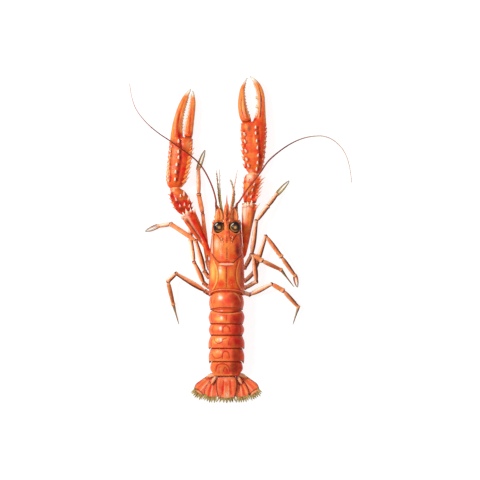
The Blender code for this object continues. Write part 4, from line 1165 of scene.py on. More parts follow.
ARM_ROWS = {
    "left": [
        (-7.8, 1.2, 3.2, 1.5, 1.3),
        (-12.6, 5.2, 3.4, 1.4, 1.3),
        (-14.0, 8.8, 5.2, 1.8, 1.5),
        (-15.8, 12.6, 6.4, 2.3, 1.9),
        (-18.6, 17.8, 7.0, 3.3, 2.8),
        (-22.6, 24.8, 7.8, 4.4, 3.8),
        (-26.6, 32.0, 8.2, 5.4, 4.6),
        (-28.8, 36.2, 8.4, 5.6, 4.8),
    ],
    "right": [
        (7.8, 1.2, 3.2, 1.5, 1.3),
        (12.6, 4.4, 3.4, 1.4, 1.3),
        (14.0, 9.5, 4.2, 1.7, 1.5),
        (14.6, 17.0, 6.6, 2.7, 2.5),
        (15.2, 26.0, 7.8, 3.9, 3.6),
        (16.3, 35.0, 8.2, 4.9, 4.4),
        (17.4, 43.2, 8.4, 5.9, 4.8),
    ],
}
WRIST_ROWS = {
    "left": [
        (-29.5, 37.6, 8.2, 4.2, 3.8),
        (-31.8, 41.0, 8.0, 6.2, 5.0),
        (-34.6, 46.4, 7.8, 6.6, 5.6),
        (-37.2, 51.0, 7.4, 5.8, 5.0),
        (-38.4, 53.6, 7.0, 4.0, 3.6),
    ],
    "right": [
        (17.6, 44.8, 8.2, 4.7, 3.8),
        (17.8, 48.6, 8.0, 5.4, 5.2),
        (18.5, 55.0, 7.8, 5.9, 5.8),
        (19.3, 61.4, 7.4, 6.4, 5.2),
        (19.8, 64.8, 7.0, 5.4, 3.6),
    ],
}
# The palm runs on in one shell into its fixed finger, and steps in where the moving finger sits
PALM_ROWS = {
    "left": [
        (55.6, -42.8, -35.6, 3.6, 9.6),
        (58.0, -44.4, -33.4, 1.8, 11.6),
        (63.0, -45.2, -30.0, 0.5, 13.4),
        (72.0, -44.6, -27.6, 0.0, 14.0),
        (82.0, -43.6, -26.0, 0.2, 13.6),
        (90.6, -42.6, -25.4, 0.7, 12.6),
        (92.6, -42.3, -25.8, 0.8, 12.2),
        (93.8, -42.1, -32.0, 1.1, 11.6),
        (96.4, -41.8, -32.9, 1.4, 11.0),
        (104.0, -40.4, -33.0, 1.8, 10.0),
        (112.0, -38.2, -31.8, 2.2, 9.0),
        (119.0, -35.6, -30.0, 2.8, 8.2),
        (125.0, -32.2, -28.2, 3.6, 7.2),
        (128.6, -28.9, -26.9, 4.4, 6.4),
        (130.0, -27.2, -26.5, 5.0, 5.8),
    ],
    "right": [
        (66.3, 17.0, 23.8, 3.8, 9.4),
        (69.4, 14.6, 26.4, 1.8, 11.4),
        (76.0, 13.2, 28.2, 0.4, 13.6),
        (86.0, 11.8, 29.4, 0.0, 14.2),
        (96.0, 10.8, 30.0, 0.2, 13.6),
        (102.6, 10.8, 29.9, 0.7, 12.6),
        (104.2, 11.0, 29.8, 0.8, 12.2),
        (105.4, 18.6, 29.7, 1.2, 11.7),
        (107.4, 20.4, 29.6, 1.4, 11.0),
        (113.0, 22.6, 29.2, 1.8, 10.0),
        (121.0, 23.0, 28.9, 2.2, 9.2),
        (128.0, 22.4, 27.8, 2.8, 8.4),
        (134.0, 20.4, 25.0, 3.6, 7.4),
        (137.8, 18.4, 21.0, 4.4, 6.4),
        (139.3, 17.4, 18.3, 5.0, 5.8),
    ],
}
MOVING_FINGER_ROWS = {
    "left": [
        (93.4, -31.0, -26.0, 2.6, 10.2),
        (97.0, -32.0, -25.2, 1.8, 10.6),
        (105.0, -30.9, -24.4, 2.2, 9.8),
        (113.0, -28.8, -23.6, 2.6, 9.0),
        (120.0, -27.4, -23.3, 3.2, 8.2),
        (125.0, -26.6, -24.0, 3.8, 7.2),
        (128.4, -25.8, -25.0, 4.8, 6.0),
    ],
    "right": [
        (104.8, 11.6, 18.6, 2.6, 10.2),
        (108.5, 9.9, 18.0, 1.8, 10.6),
        (115.0, 8.7, 15.6, 2.2, 9.8),
        (122.0, 8.8, 14.2, 2.6, 9.0),
        (129.0, 10.0, 13.6, 3.2, 8.2),
        (134.0, 12.2, 14.4, 3.8, 7.2),
        (138.0, 15.0, 15.8, 4.8, 6.0),
    ],
}
# The palm's row where its fixed finger starts, and the run of its side thorns behind its root
FINGER_ROW = 8
PALM_THORN_RUN = (6, 34)
# Thorns on top of each palm: (places, length, radius, lean, shape, tip), with the left palm's comb of
# tall ones
COMB = [(-33.2, 57.6), (-31.9, 61.2), (-30.7, 64.8), (-29.9, 68.2), (-29.2, 71.8), (-28.5, 75.4),
        (-27.9, 78.8), (-27.5, 82.2)]
PALM_THORNS = {
    "left": [
        ([(-36.0, 89.4), (-36.1, 81.6), (-36.1, 77.4), (-37.1, 71.9), (-38.3, 66.7), (-38.6, 60.9)],
         3.2, 0.85, (0.1, 1.8), GRAIN),
        ([(-41.3, 86.0), (-41.8, 82.6), (-42.3, 79.4), (-42.8, 76.2), (-43.1, 73.0), (-43.3, 69.8),
          (-43.4, 66.6), (-43.4, 63.4), (-43.2, 60.4)], 2.0, 0.6, (-0.2, 1.5), GRAIN),
        (COMB, 5.4, 1.2, (1.2, 2.1), THORN, "peach"),
        ([(-27.2, 84.6), (-27.0, 86.8), (-26.9, 89.0)], 2.2, 0.7, (0.9, 1.6), THORN, "peach"),
    ],
    "right": [
        ([(13.9, 94.8), (14.6, 89.2), (15.3, 82.0), (15.9, 76.0), (16.9, 71.2)],
         3.2, 0.85, (-0.3, 1.8), GRAIN),
        ([(21.6, 99.6), (21.9, 95.4), (22.4, 89.8), (23.0, 84.6), (23.3, 78.8), (23.2, 73.6), (22.5, 68.8)],
         2.9, 0.75, (0.0, 1.8), GRAIN),
        ([(11.9, 97.0), (12.2, 91.2), (12.6, 86.6), (12.6, 82.2), (12.9, 77.4), (13.8, 71.8)],
         3.4, 1.25, (-1.0, 2.3), THORN, "peach"),
        ([(29.2, 101.0), (29.1, 97.6), (28.9, 94.2), (28.7, 90.8), (28.4, 87.4), (28.0, 84.0),
          (27.6, 80.6), (27.0, 77.2)], 1.1, 0.55, (0.9, 1.0)),
    ],
}
# The tall thorns of each arm's far rim and of each wrist: (places, length, radius, lean, shape, tip,
# darkness of the painted shadow)
ARM_THORNS = {
    "left": [
        ([(-29.6, 36.4)], 4.2, 1.5, (-0.9, 2.8)),
        ([(-26.6, 37.4), (-24.4, 37.6)], 3.4, 1.2, (-0.2, 2.8)),
        ([(-33.2, 33.6), (-31.6, 35.2)], 3.0, 1.2, (-1.4, 2.2)),
    ],
    "right": [
        ([(18.8, 42.4)], 4.4, 1.5, (0.2, 3.0)),
        ([(14.2, 42.4), (16.2, 42.8)], 2.6, 1.3, (-0.1, 3.0)),
        ([(21.8, 41.0)], 5.2, 1.1, (2.2, 3.0)),
        ([(12.4, 41.8)], 2.2, 1.0, (-1.0, 2.6)),
    ],
}
WRIST_SPINES = {
    "left": [
        ([(-31.9, 49.8), (-28.6, 46.4)], 4.8, 1.1, (-0.3, 2.6)),
        ([(-37.5, 46.4), (-34.7, 41.4), (-31.4, 42.2), (-34.4, 48.8), (-28.2, 41.2)],
         2.8, 0.9, (-0.3, 1.5)),
        ([(-41.8, 49.8), (-40.8, 46.6), (-39.6, 43.6), (-38.0, 40.4)],
         3.4, 0.85, (-2.2, 1.6), THORN, "peach"),
        ([(-26.4, 44.0), (-25.8, 40.6)], 2.6, 0.8, (0.8, 1.8)),
    ],
    "right": [
        ([(24.8, 60.4), (24.0, 57.2), (23.2, 53.8), (22.4, 50.4), (21.6, 47.6)],
         5.4, 1.25, (2.0, 2.2), THORN, "blush"),
        ([(24.2, 63.0)], 3.4, 1.3, (1.6, 1.6), THORN, "blush"),
        ([(20.2, 57.6), (19.0, 53.4), (18.2, 48.4), (15.4, 50.0)], 3.2, 0.95, (0.7, 1.6)),
        ([(16.4, 60.6)], 2.6, 0.8, (0.4, 1.6), THORN, "cream", 0.0),
        ([(13.6, 63.0), (13.0, 59.4), (12.9, 55.2), (12.7, 50.6)], 2.4, 0.7, (-1.4, 1.5)),
    ],
}
# How far the pale tip of a finger reaches back, and how yellow its outer side is
PALE_TIP = 6.0
OUTER_AMBER = 0.6
CLAW_SEEDS = {"left": 201, "right": 251}
WRIST_TONES = {"left": "deep red", "right": "coral"}
# Where round the fixed finger its biting side lies. The moving finger's is half a turn away.
FIXED_BITE = {"left": 0.0, "right": 0.5}
# The moving finger's teeth: count, length and radius
THUMB_TEETH = (12, 0.6, 0.62)
# The fixed finger's teeth in runs: (first y, last y, count, length, radius)
FIXED_TEETH = {
    "left": [(101.0, 123.4, 12, 0.7, 0.7)],
    "right": [(110.0, 113.6, 3, 0.7, 0.7), (116.9, 116.9, 1, 1.7, 1.6), (119.6, 121.2, 2, 0.6, 0.6),
              (123.6, 123.6, 1, 1.9, 1.5), (126.4, 133.6, 6, 0.6, 0.6)],
}
# Marks seen on the claws
PATCHES.update({
    "palm_left": [
        (-39.6, 78.0, 2.4, 18.0, "amber", 0.3),
        (-39.2, 64.0, 2.6, 7.0, "amber", 0.4),
        (-40.6, 100.0, 2.2, 18.0, "amber", 0.95),
        (-38.8, 110.0, 2.4, 14.0, "gold", 0.65),
        (-44.2, 70.0, 1.8, 18.0, "gold", 0.9),
        (-31.5, 82.0, 2.8, 8.0, "red", 0.9),
        (-32.6, 68.0, 3.0, 12.0, "red", 0.95),
        (-34.0, 62.0, 2.0, 6.0, "deep red", 0.7),
        (-28.4, 88.0, 2.6, 4.4, "peach", 0.5),
        (-36.2, 106.0, 2.2, 10.0, "red", 0.9),
        (-30.6, 120.0, 1.6, 7.0, "peach", 0.6),
    ],
    "palm_right": [
        (17.0, 100.2, 2.6, 4.0, "limb dark", 0.95),
        (20.2, 92.4, 1.2, 5.0, "gold", 0.7),
        # Painted shadow right of the middle row of thorns
        (25.6, 78.0, 1.8, 14.0, "deep red", 0.85),
        (14.0, 101.4, 3.0, 2.6, "amber", 0.9),
        (18.6, 90.0, 3.0, 10.0, "orange", 0.7),
        (19.6, 78.0, 3.0, 8.0, "amber", 0.4),
        (18.4, 68.0, 2.6, 2.0, "blush", 0.5),
        (13.8, 80.0, 1.8, 9.0, "amber", 0.5),
        (26.8, 92.0, 3.0, 20.0, "red", 0.7),
        (28.0, 100.0, 1.8, 10.0, "orange", 0.8),
        (27.6, 118.0, 1.8, 14.0, "red", 0.7),
        (23.6, 120.0, 1.4, 9.0, "gold", 0.75),
    ],
    "thumb_left": [
        (-29.6, 108.0, 1.5, 12.0, "gold", 0.85),
        (-28.6, 97.0, 2.4, 4.0, "red", 0.8),
        (-24.8, 108.0, 1.6, 12.0, "red", 0.5),
        (-25.0, 119.0, 1.4, 6.0, "amber", 0.8),
    ],
    "thumb_right": [
        (12.3, 118.0, 1.5, 11.0, "gold", 0.8),
        (10.0, 116.0, 1.5, 14.0, "amber", 0.9),
        (15.0, 109.0, 2.4, 5.0, "red", 0.85),
        (11.0, 127.0, 1.5, 6.0, "amber", 0.85),
    ],
    "wrist_left": [
        (-38.4, 52.0, 3.0, 3.0, "amber", 0.9),
        (-37.4, 49.0, 3.0, 4.0, "orange", 0.8),
        (-40.2, 53.8, 2.0, 1.6, "cream", 0.85),
        # Painted shadows among the thorns
        (-35.4, 44.4, 4.0, 3.0, "wine", 0.7),
        (-33.4, 39.6, 4.0, 2.6, "wine", 0.8),
        (-29.0, 43.0, 3.0, 5.0, "red", 0.8),
    ],
    "wrist_right": [
        (15.6, 57.0, 3.8, 8.0, "amber", 0.95),
        (17.0, 63.6, 4.4, 4.4, "blush", 0.9, 0.2),
        (17.6, 64.6, 3.2, 3.0, "cream", 0.7),
        (22.8, 56.0, 3.0, 8.0, "red", 0.7),
        (14.4, 49.0, 3.0, 4.0, "coral", 0.9),
        (21.0, 52.0, 0.9, 9.0, "deep red", 0.9),
        (17.0, 46.4, 5.0, 2.0, "red", 0.7),
    ],
    "arm_left": [
        (-23.0, 24.0, 2.6, 12.0, "red", 0.9),
        (-19.0, 17.4, 2.2, 6.0, "red", 0.9),
        (-25.0, 33.0, 3.4, 4.0, "red", 0.6),
    ],
    "arm_right": [
        (17.4, 30.0, 1.8, 14.0, "orange", 0.8),
        # Painted highlight on the upper left of the arm
        (13.8, 37.0, 3.4, 13.0, "peach", 0.95),
        (13.6, 38.0, 3.2, 12.0, "blush", 0.95),
        (13.2, 37.0, 2.2, 9.0, "cream", 0.6),
        (15.4, 42.0, 3.0, 6.0, "cream", 0.7),
        (17.6, 34.0, 2.2, 14.0, "amber", 0.9),
        (15.6, 12.0, 2.6, 10.0, "coral", 0.8),
    ],
})
STROKES.update({
    "palm_left": [
        *(([(x - 0.4, y - 1.6), (x + 2.0, y + 3.6)], 0.5, "amber", 0.95, 0.4) for x, y in COMB),
        # Painted shade in the groove right of the middle row of thorns
        ([(-34.4, 91.4), (-34.0, 84.0), (-34.4, 76.0), (-35.4, 69.0), (-36.6, 61.0)],
         1.2, "deep red", 0.95, -0.5),
        ([(-36.0, 92.0), (-36.1, 79.0), (-38.4, 66.0), (-38.6, 60.0)], 0.8, "orange", 0.4, 0.3),
        ([(-40.9, 90.0), (-41.9, 78.0), (-42.5, 70.0), (-42.2, 60.0)], 0.28, "dark", 0.75, -0.4),
        ([(-41.6, 88.0), (-42.6, 78.0), (-43.2, 70.0), (-42.9, 61.0)], 0.5, "peach", 0.5, 0.15),
        ([(-34.2, 88.0), (-35.6, 97.0), (-35.5, 105.0), (-34.7, 111.0)], 1.3, "deep red", 0.9, -0.5),
        ([(-35.0, 108.0), (-33.8, 114.0), (-32.2, 119.0), (-30.2, 124.0)], 0.5, "red", 0.9, -0.3),
        ([(-33.9, 97.0), (-34.4, 103.0), (-33.2, 110.0), (-31.0, 117.0)], 0.6, "amber", 0.6, 0.4),
        ([(-38.4, 96.0), (-38.4, 104.0), (-36.4, 113.0), (-33.0, 121.0)], 0.5, "peach", 0.5, 0.2),
    ],
    "palm_right": [
        # Painted shade in the groove right of the middle row of thorns
        ([(24.0, 101.6), (24.6, 92.0), (25.0, 84.0), (24.8, 74.0), (23.8, 68.4)],
         0.7, "deep red", 0.7, -0.4),
        ([(21.6, 101.6), (22.6, 90.0), (23.3, 80.0), (22.4, 69.6)], 0.8, "orange", 0.35, 0.4),
        ([(14.1, 98.0), (14.8, 88.0), (16.0, 77.6), (17.2, 71.0)], 0.8, "red", 0.4, 0.3),
        ([(25.5, 109.0), (25.9, 117.0), (26.1, 123.0), (24.6, 131.6)], 0.5, "dark", 0.9, -0.5),
        ([(23.8, 108.0), (24.8, 116.0), (24.8, 124.0), (23.2, 131.6), (20.4, 137.2)],
         0.6, "peach", 0.9, 0.3),
        ([(23.4, 112.0), (23.4, 120.0), (22.6, 128.0)], 0.4, "limb dark", 0.5, -0.2),
        ([(20.0, 104.4), (21.6, 107.4), (22.6, 110.6)], 0.5, "deep red", 0.8, -0.2),
        ([(28.4, 104.0), (28.3, 116.0), (27.2, 126.0)], 0.5, "amber", 0.6, 0.2),
    ],
    "thumb_left": [
        ([(-27.4, 97.0), (-27.2, 106.0), (-26.4, 114.0), (-25.6, 122.0)], 0.35, "deep red", 0.7, -0.3),
        ([(-30.8, 94.4), (-28.4, 93.8), (-26.0, 94.2)], 0.5, "dark", 0.8, -0.2),
        ([(-26.0, 98.0), (-25.2, 106.0), (-24.6, 114.0)], 0.4, "orange", 0.6, 0.2),
    ],
    "thumb_right": [
        ([(12.6, 110.0), (11.1, 116.0), (11.1, 122.0)], 0.28, "limb dark", 0.7, -0.25),
        ([(14.2, 108.0), (13.2, 115.0), (12.6, 123.0), (12.6, 129.0)], 0.4, "peach", 0.8, 0.3),
        ([(16.4, 108.0), (14.6, 115.0), (13.6, 123.0), (13.8, 131.0)], 0.28, "dark", 0.7, -0.2),
        ([(11.6, 105.8), (15.0, 105.2), (18.4, 106.4)], 0.5, "dark", 0.8, -0.2),
    ],
    "arm_left": [
        ([(-13.4, 9.0), (-17.6, 18.4), (-21.0, 24.0), (-25.0, 32.0), (-26.0, 36.0)], 2.4, "red", 0.95, 0.1),
        # Painted highlight down the left of the arm
        ([(-17.6, 14.6), (-20.6, 19.6), (-24.6, 26.0), (-28.8, 34.0)], 0.5, "blush", 0.85, 0.25),
        ([(-19.6, 17.6), (-24.0, 23.8), (-29.4, 31.6), (-31.4, 34.0)], 1.0, "limb dark", 0.75, -0.1),
        ([(-18.4, 15.0), (-22.0, 20.6), (-27.2, 27.4), (-32.4, 33.4)], 0.4, "dark", 0.7, -0.2),
        ([(-12.4, 9.6), (-15.8, 17.0), (-19.0, 24.4), (-22.6, 32.6)], 0.4, "wine", 0.8, -0.2),
    ],
    "arm_right": [
        ([(15.4, 14.0), (17.6, 24.0), (19.8, 34.0), (21.4, 41.0)], 0.9, "limb dark", 0.35, 0.0),
        ([(17.0, 14.0), (19.2, 26.0), (21.6, 38.0)], 0.5, "dark", 0.85, -0.2),
        ([(15.0, 42.0), (14.6, 36.0), (14.3, 30.0)], 0.45, "amber", 0.8, -0.1),
    ],
})


def share_at(rows, y):
    """The share along a run of slices where it reaches y."""
    dense = np.linspace(0, 1, 1000)
    return np.interp(y, reading(rows)(dense)[:, 0], dense)


def claw_tones(skin, seed):
    """The uneven red and yellow of a claw's shells, with painted shade on upright sides and fine low bumps.
    """
    skin.speckle("red", 2.6, 0.6, seed)
    skin.speckle("amber", 4.0, 0.35, seed + 1)
    # Painted shade on the upright sides
    skin.outline("deep red", 0.6)
    skin.underside("peach", 0.6)
    skin.relief += 0.22 * (mottle(skin.points, 2.2, seed + 2) - 0.5)


def finger_tones(skin, start, tip, bite):
    """A finger is pale along its biting side, and fades to a pale hard tip with a grey outline."""
    facing = np.cos(2 * math.pi * (skin.around - bite))
    along = smooth(start, start + 0.05, skin.along)
    skin.tint(smooth(-0.1, 0.3, facing) * smooth(0.5, 0.9, skin.up) * along, "amber", 0.5)
    skin.tint(smooth(0.0, -0.7, facing) * smooth(start, start + 0.15, skin.along), "amber", OUTER_AMBER)
    skin.tint(smooth(0.5, 0.85, facing) * along, "cream" if bite else "peach", 0.85)
    skin.tint(band(facing, 0.5, 0.06) * along, "limb dark", 0.5)
    skin.tint(smooth(tip - 3 * PALE_TIP, tip - PALE_TIP, skin.y), "amber", 0.55)
    fading = smooth(tip - PALE_TIP, tip - 0.3 * PALE_TIP, skin.y)
    skin.tint(fading, "cream", 0.95)
    skin.tint(fading * smooth(0.85, 0.4, np.abs(skin.rise)), "grey", 0.85)
    skin.tint(smooth(0.0, -0.4, facing) * along * smooth(0.55, 0.2, skin.rise), "limb dark", 0.6)
    skin.tint(smooth(tip - 1.2, tip, skin.y), "grey", 0.6)


def membrane(points, radii, seed):
    """The soft pale skin that shows in a joint between two shells."""
    rows = [(*place, radius, radius * 0.92) for place, radius in zip(points, radii)]
    skin = Skin(tube(rows), 0.4, "peach", domes=(0.5, 0.5))
    skin.speckle("orange", 1.6, 0.6, seed)
    skin.relief += 0.12 * np.sin(skin.along * 26)
    return skin.parts()


def tooth_row(skin, rows, bite, first, last, count, length, radius):
    """Knobs along a finger's biting side, from the first y to the last."""
    # A painted shadow on the shell just behind each knob
    for y in np.linspace(first, last, count):
        x, seat_y, _ = skin.surface(np.array(share_at(rows, y)), np.array(bite))
        skin.patch(x, seat_y - 0.9 * radius, radius * 1.4, radius * 0.8, "dark", 0.6)
    along = np.linspace(share_at(rows, first), share_at(rows, last), count)
    roots, _, out = skin.footing(along, np.full(count, bite))
    lengths = length * (1 + 0.25 * np.sin(np.arange(count) * 2.3))
    return spikes(roots, out, lengths, radius, COLOURS["tan"], COLOURS["cream"], BEAD, 11, paling=0.3,
                  shadow="limb dark")


def slice_middle(row, shift):
    """The middle of an upright slice, moved forward by the shift."""
    y, left, right, low, high = row
    return (left + right) / 2, y + shift, (low + high) / 2


def build_arm(side, seed):
    arm = Skin(tube(ARM_ROWS[side], 2.2), 0.4, "orange", domes=(0.5, 0.9))
    claw_tones(arm, seed)
    arm.draw(f"arm_{side}")
    # Painted highlight on the left of the far end
    beside = arm.x - ARM_ROWS[side][-1][0]
    arm.tint(smooth(0.86, 0.97, arm.along) * smooth(2.0, -1.0, beside), "blush", 0.8)
    rim = [thorns_at(arm, *row, dark=0.0) for row in ARM_THORNS[side]]
    piece(f"arm_shell_{side}", [arm.parts(), *rim], "claw", f"arm_{side}")


def build_wrist(side, seed):
    """The wrist with the soft skin of its joints with the arm and the palm."""
    rows = WRIST_ROWS[side]
    wrist = Skin(tube(rows, 2.3), 0.38, WRIST_TONES[side], domes=(0.8, 0.8))
    wrist.speckle("red", 3.0, 0.8, seed + 5)
    claw_tones(wrist, seed + 6)
    wrist.draw(f"wrist_{side}")
    wrist.tint(smooth(0.06, 0.0, wrist.along), "dark", 0.85)
    thorns = [thorns_at(wrist, *row) for row in WRIST_SPINES[side]]
    for around in (0.58, 0.93):
        start, end = (0.3, around), (0.9, around)
        thorns.append(thorns_along(wrist, start, end, 4, 1.1, 0.6, 1.4, uneven=0.6, seed=seed + 9))
    elbow = [ARM_ROWS[side][-1][:3], rows[0][:3], rows[1][:3]]
    far_joint = [slice_middle(PALM_ROWS[side][0], 1.5), rows[-1][:3], rows[-2][:3]]
    soft = [membrane(elbow, (4.2, 3.8, 3.4), seed), membrane(far_joint, (3.4, 3.9, 3.8), seed + 1)]
    piece(f"wrist_shell_{side}", [wrist.parts(), *thorns, *soft], "claw", f"wrist_{side}")


def build_palm(side, seed):
    """The palm and its fixed finger in one shell, with rows of thorns and teeth."""
    rows, bite = PALM_ROWS[side], FIXED_BITE[side]
    palm = Skin(slices(rows, 2.3), 0.36, "orange", domes=(0.8, 0.25))
    claw_tones(palm, seed + 12)
    palm.draw(f"palm_{side}")
    finger_tones(palm, share_at(rows, rows[FINGER_ROW][0]), rows[-1][0], bite)
    thorns = [thorns_at(palm, *row) for row in PALM_THORNS[side]]
    start, end = (share_at(rows, rows[0][0] + reach) for reach in PALM_THORN_RUN)
    for around, length in ((0.93, 0.9), (0.57, 0.9), (0.5 - bite, 0.8)):
        thorns.append(thorns_along(palm, (start, around), (end, around), 9, length, 0.55, 1.2, uneven=0.5,
                                   seed=seed + 3))
    thorns += [tooth_row(palm, rows, bite, *run) for run in FIXED_TEETH[side]]
    piece(f"palm_shell_{side}", [palm.parts(), *thorns], "claw", f"palm_{side}")


def build_thumb(side, seed):
    """The moving finger, with the soft skin of its hinge."""
    rows, bite = MOVING_FINGER_ROWS[side], 0.5 - FIXED_BITE[side]
    finger = Skin(slices(rows), 0.36, "orange", domes=(0.8, 0.25))
    claw_tones(finger, seed + 20)
    finger.draw(f"thumb_{side}")
    finger_tones(finger, 0.1, rows[-1][0], bite)
    teeth = tooth_row(finger, rows, bite, rows[1][0] + 2, rows[-2][0], *THUMB_TEETH)
    hinge = [slice_middle(rows[0], shift) for shift in (-2.0, 0.0, 2.0)]
    soft = membrane(hinge, (2.2, 2.4, 2.2), seed + 2)
    piece(f"thumb_shell_{side}", [finger.parts(), teeth, soft], "claw", f"thumb_{side}")


# The walking legs: joints (x, y, z) from the breast plate to the toe

LEG_JOINTS = {
    "leg_2_left": [(-7.8, -6.3, 3.2), (-13.2, -4.5, 2.5), (-14.6, 0.4, 1.7), (-17.8, 35.5, 4.2),
                   (-20.9, 51.0, 6.0), (-21.2, 70.5, 3.4), (-16.3, 84.0, 1.2)],
    "leg_3_left": [(-7.8, -12.0, 3.2), (-14.0, -11.0, 3.1), (-16.5, -7.0, 4.5), (-23.0, 16.0, 9.4),
                   (-42.0, 28.5, 7.0), (-51.5, 27.0, 3.8), (-61.0, 23.0, 1.2)],
    "leg_4_left": [(-7.8, -17.7, 3.2), (-14.0, -18.5, 3.1), (-17.0, -16.0, 4.5), (-24.5, 0.0, 8.0),
                   (-27.0, 16.5, 4.2), (-27.2, 29.0, 1.6), (-28.6, 40.0, 0.8)],
    "leg_5_left": [(-7.8, -23.2, 3.2), (-13.0, -24.0, 3.1), (-16.0, -22.0, 4.5), (-38.0, -8.5, 11.0),
                   (-44.0, -14.5, 9.5), (-40.0, -32.0, 3.6), (-36.0, -46.5, 0.6)],
    "leg_2_right": [(7.8, -6.3, 3.2), (14.0, -4.0, 3.1), (19.0, 5.5, 5.5), (22.4, 31.0, 10.4),
                    (31.0, 42.0, 8.0), (38.0, 51.0, 4.6), (47.0, 61.0, 1.2)],
    "leg_3_right": [(7.8, -12.0, 3.2), (14.5, -14.0, 3.1), (20.5, -8.0, 3.8), (29.5, 19.5, 11.0),
                    (41.0, 4.0, 8.0), (51.5, -10.5, 3.8), (53.2, -19.0, 1.0)],
    "leg_4_right": [(7.8, -17.7, 3.2), (14.5, -19.3, 3.2), (22.5, -14.5, 6.5), (20.0, 5.5, 11.5),
                    (26.5, 1.0, 10.6), (41.0, -6.0, 6.0), (50.4, -18.4, 0.9)],
    "leg_5_right": [(7.8, -23.2, 3.2), (13.0, -23.2, 3.1), (17.5, -24.5, 4.5), (34.0, -16.5, 10.0),
                    (42.5, -21.5, 8.6), (54.0, -34.0, 4.2), (50.0, -46.5, 0.6)],
}
# Radii of each stretch between two joints: first, middle and last. The last stretch is the toe.
LEG_STRETCHES = [(1.2, 1.6, 1.5), (1.3, 1.45, 1.4), (1.3, 1.8, 1.2), (1.15, 1.55, 1.5), (1.25, 1.5, 1.2),
                 (1.0, 0.6, 0.25)]
TOE = 5
# The scene's legs are this much thicker than the solids
LEG_SWELL = 1.12
STRETCH_OVERLAP = 0.45
KNEE_HALF_LENGTH = 0.6
# How far each stretch of a leg has turned from orange to grey, and how many hairs it has
STRETCH_GREY = (0.0, 0.0, 0.0, 0.0, 0.12, 1.2)
STRETCH_HAIRS = (0, 0, 0, 26, 26, 14)
KNEE_DARK = 1.3
CUFF = 1.4
# A pincer's finger: (share of its length, distance from the middle, radius)
PINCER_FINGER = [(-0.08, 0.5, 0.9), (0.14, 1.0, 0.85), (0.45, 1.15, 0.66), (0.75, 0.85, 0.5),
                 (1.0, 0.2, 0.24)]
# The way to the light over the legs, and over two of them that lie across it
LIT_FROM = (-0.88, 0.47, 0.0)
LIT_FROM_AHEAD = {"leg_2_left": (-0.35, 0.94, 0.0), "leg_5_left": (-0.35, 0.94, 0.0)}
# The legs that end in a pincer, with the pale and dark tones of its fingers
PINCER_TONES = {
    "leg_2_left": ("straw", "olive dark"),
    "leg_3_left": ("pink", "knot"),
    "leg_2_right": ("straw", "olive dark"),
    "leg_3_right": ("limb", "knot"),
}


def limb_tones(skin, grey, seed, lit_from=LIT_FROM):
    """A painted highlight on the side to the light, painted shade on the other side, greyer towards the
    toe.
    """
    skin.speckle("orange", 1.8, 0.45, seed)
    skin.speckle("peach", 2.6, 0.5, seed + 1)
    lit = skin.normals @ lit_from
    skin.tint(smooth(0.08, 0.36, lit) * smooth(-0.1, 0.3, skin.rise), "cream", 0.8)
    skin.tint(np.full_like(skin.relief, grey), "grey", 0.75)
    skin.tint(smooth(0.12, 0.32, -lit), "olive dark" if grey > 0.5 else "limb dark", 0.6)
    skin.tint(smooth(0.3, 0.44, -lit), "olive dark" if grey > 0.5 else "knot", 0.9)
    # Painted shade on the upright sides
    skin.outline("knot", 0.5, 0.16)


def stretch_shape(k, length):
    """The radii of a leg's stretch along it, with a cuff at its far end unless it is the toe."""
    first, middle, last = (radius * LEG_SWELL for radius in LEG_STRETCHES[k])
    if k == TOE:
        return [(0.0, 0.9 * first), (0.12, first), (0.42, middle), (0.75, 0.7 * middle), (1.0, 0.7 * last)]
    cuff = min(CUFF / length, 0.15)
    return [(0.0, 0.75 * first), (0.06, 0.8 * first), (0.2, (first + middle) / 2), (0.42, middle),
            (0.7, (middle + last) / 2), (1 - 1.5 * cuff, last), (1 - 0.5 * cuff, 1.22 * last),
            (1.0, 1.1 * last)]


def build_stretch(name, k, start, end, seed):
    """One stretch of a leg, with its hairs and the dark knot of the joint it starts from."""
    way = unit(end - start)
    begin, run = start - way * STRETCH_OVERLAP, end - start + 2 * way * STRETCH_OVERLAP
    length = np.linalg.norm(run)
    rows = [(*(begin + run * share), radius, radius * 0.88) for share, radius in stretch_shape(k, length)]
    skin = Skin(tube(rows), 0.34, "limb", domes=(0.5, 0.2 if k == TOE else 0.35))
    limb_tones(skin, STRETCH_GREY[k], seed + 3 * k, LIT_FROM_AHEAD.get(name, LIT_FROM))
    gone = (skin.points - begin) @ way
    skin.tint(smooth(KNEE_DARK, 0.4 * KNEE_DARK, gone), "knot", 0.85)
    if k != TOE:
        skin.tint(smooth(length - CUFF, length - 0.6 * CUFF, gone), "peach", 0.5)
    skin.tint(smooth(length - 0.3 * CUFF, length, gone), "knot", 0.85)
    parts = [skin.parts()]
    if STRETCH_HAIRS[k]:
        parts.append(setae(skin, STRETCH_HAIRS[k], 1.0, seed + k))
    if k > 0:
        radius = LEG_STRETCHES[k][0] * LEG_SWELL
        knot = [(*(start + way * shift), radius * 0.95, radius * 0.85)
                for shift in (-KNEE_HALF_LENGTH, 0, KNEE_HALF_LENGTH)]
        parts.append(Skin(tube(knot), 0.34, "knot", domes=(0.4, 0.4)).parts())
    return parts


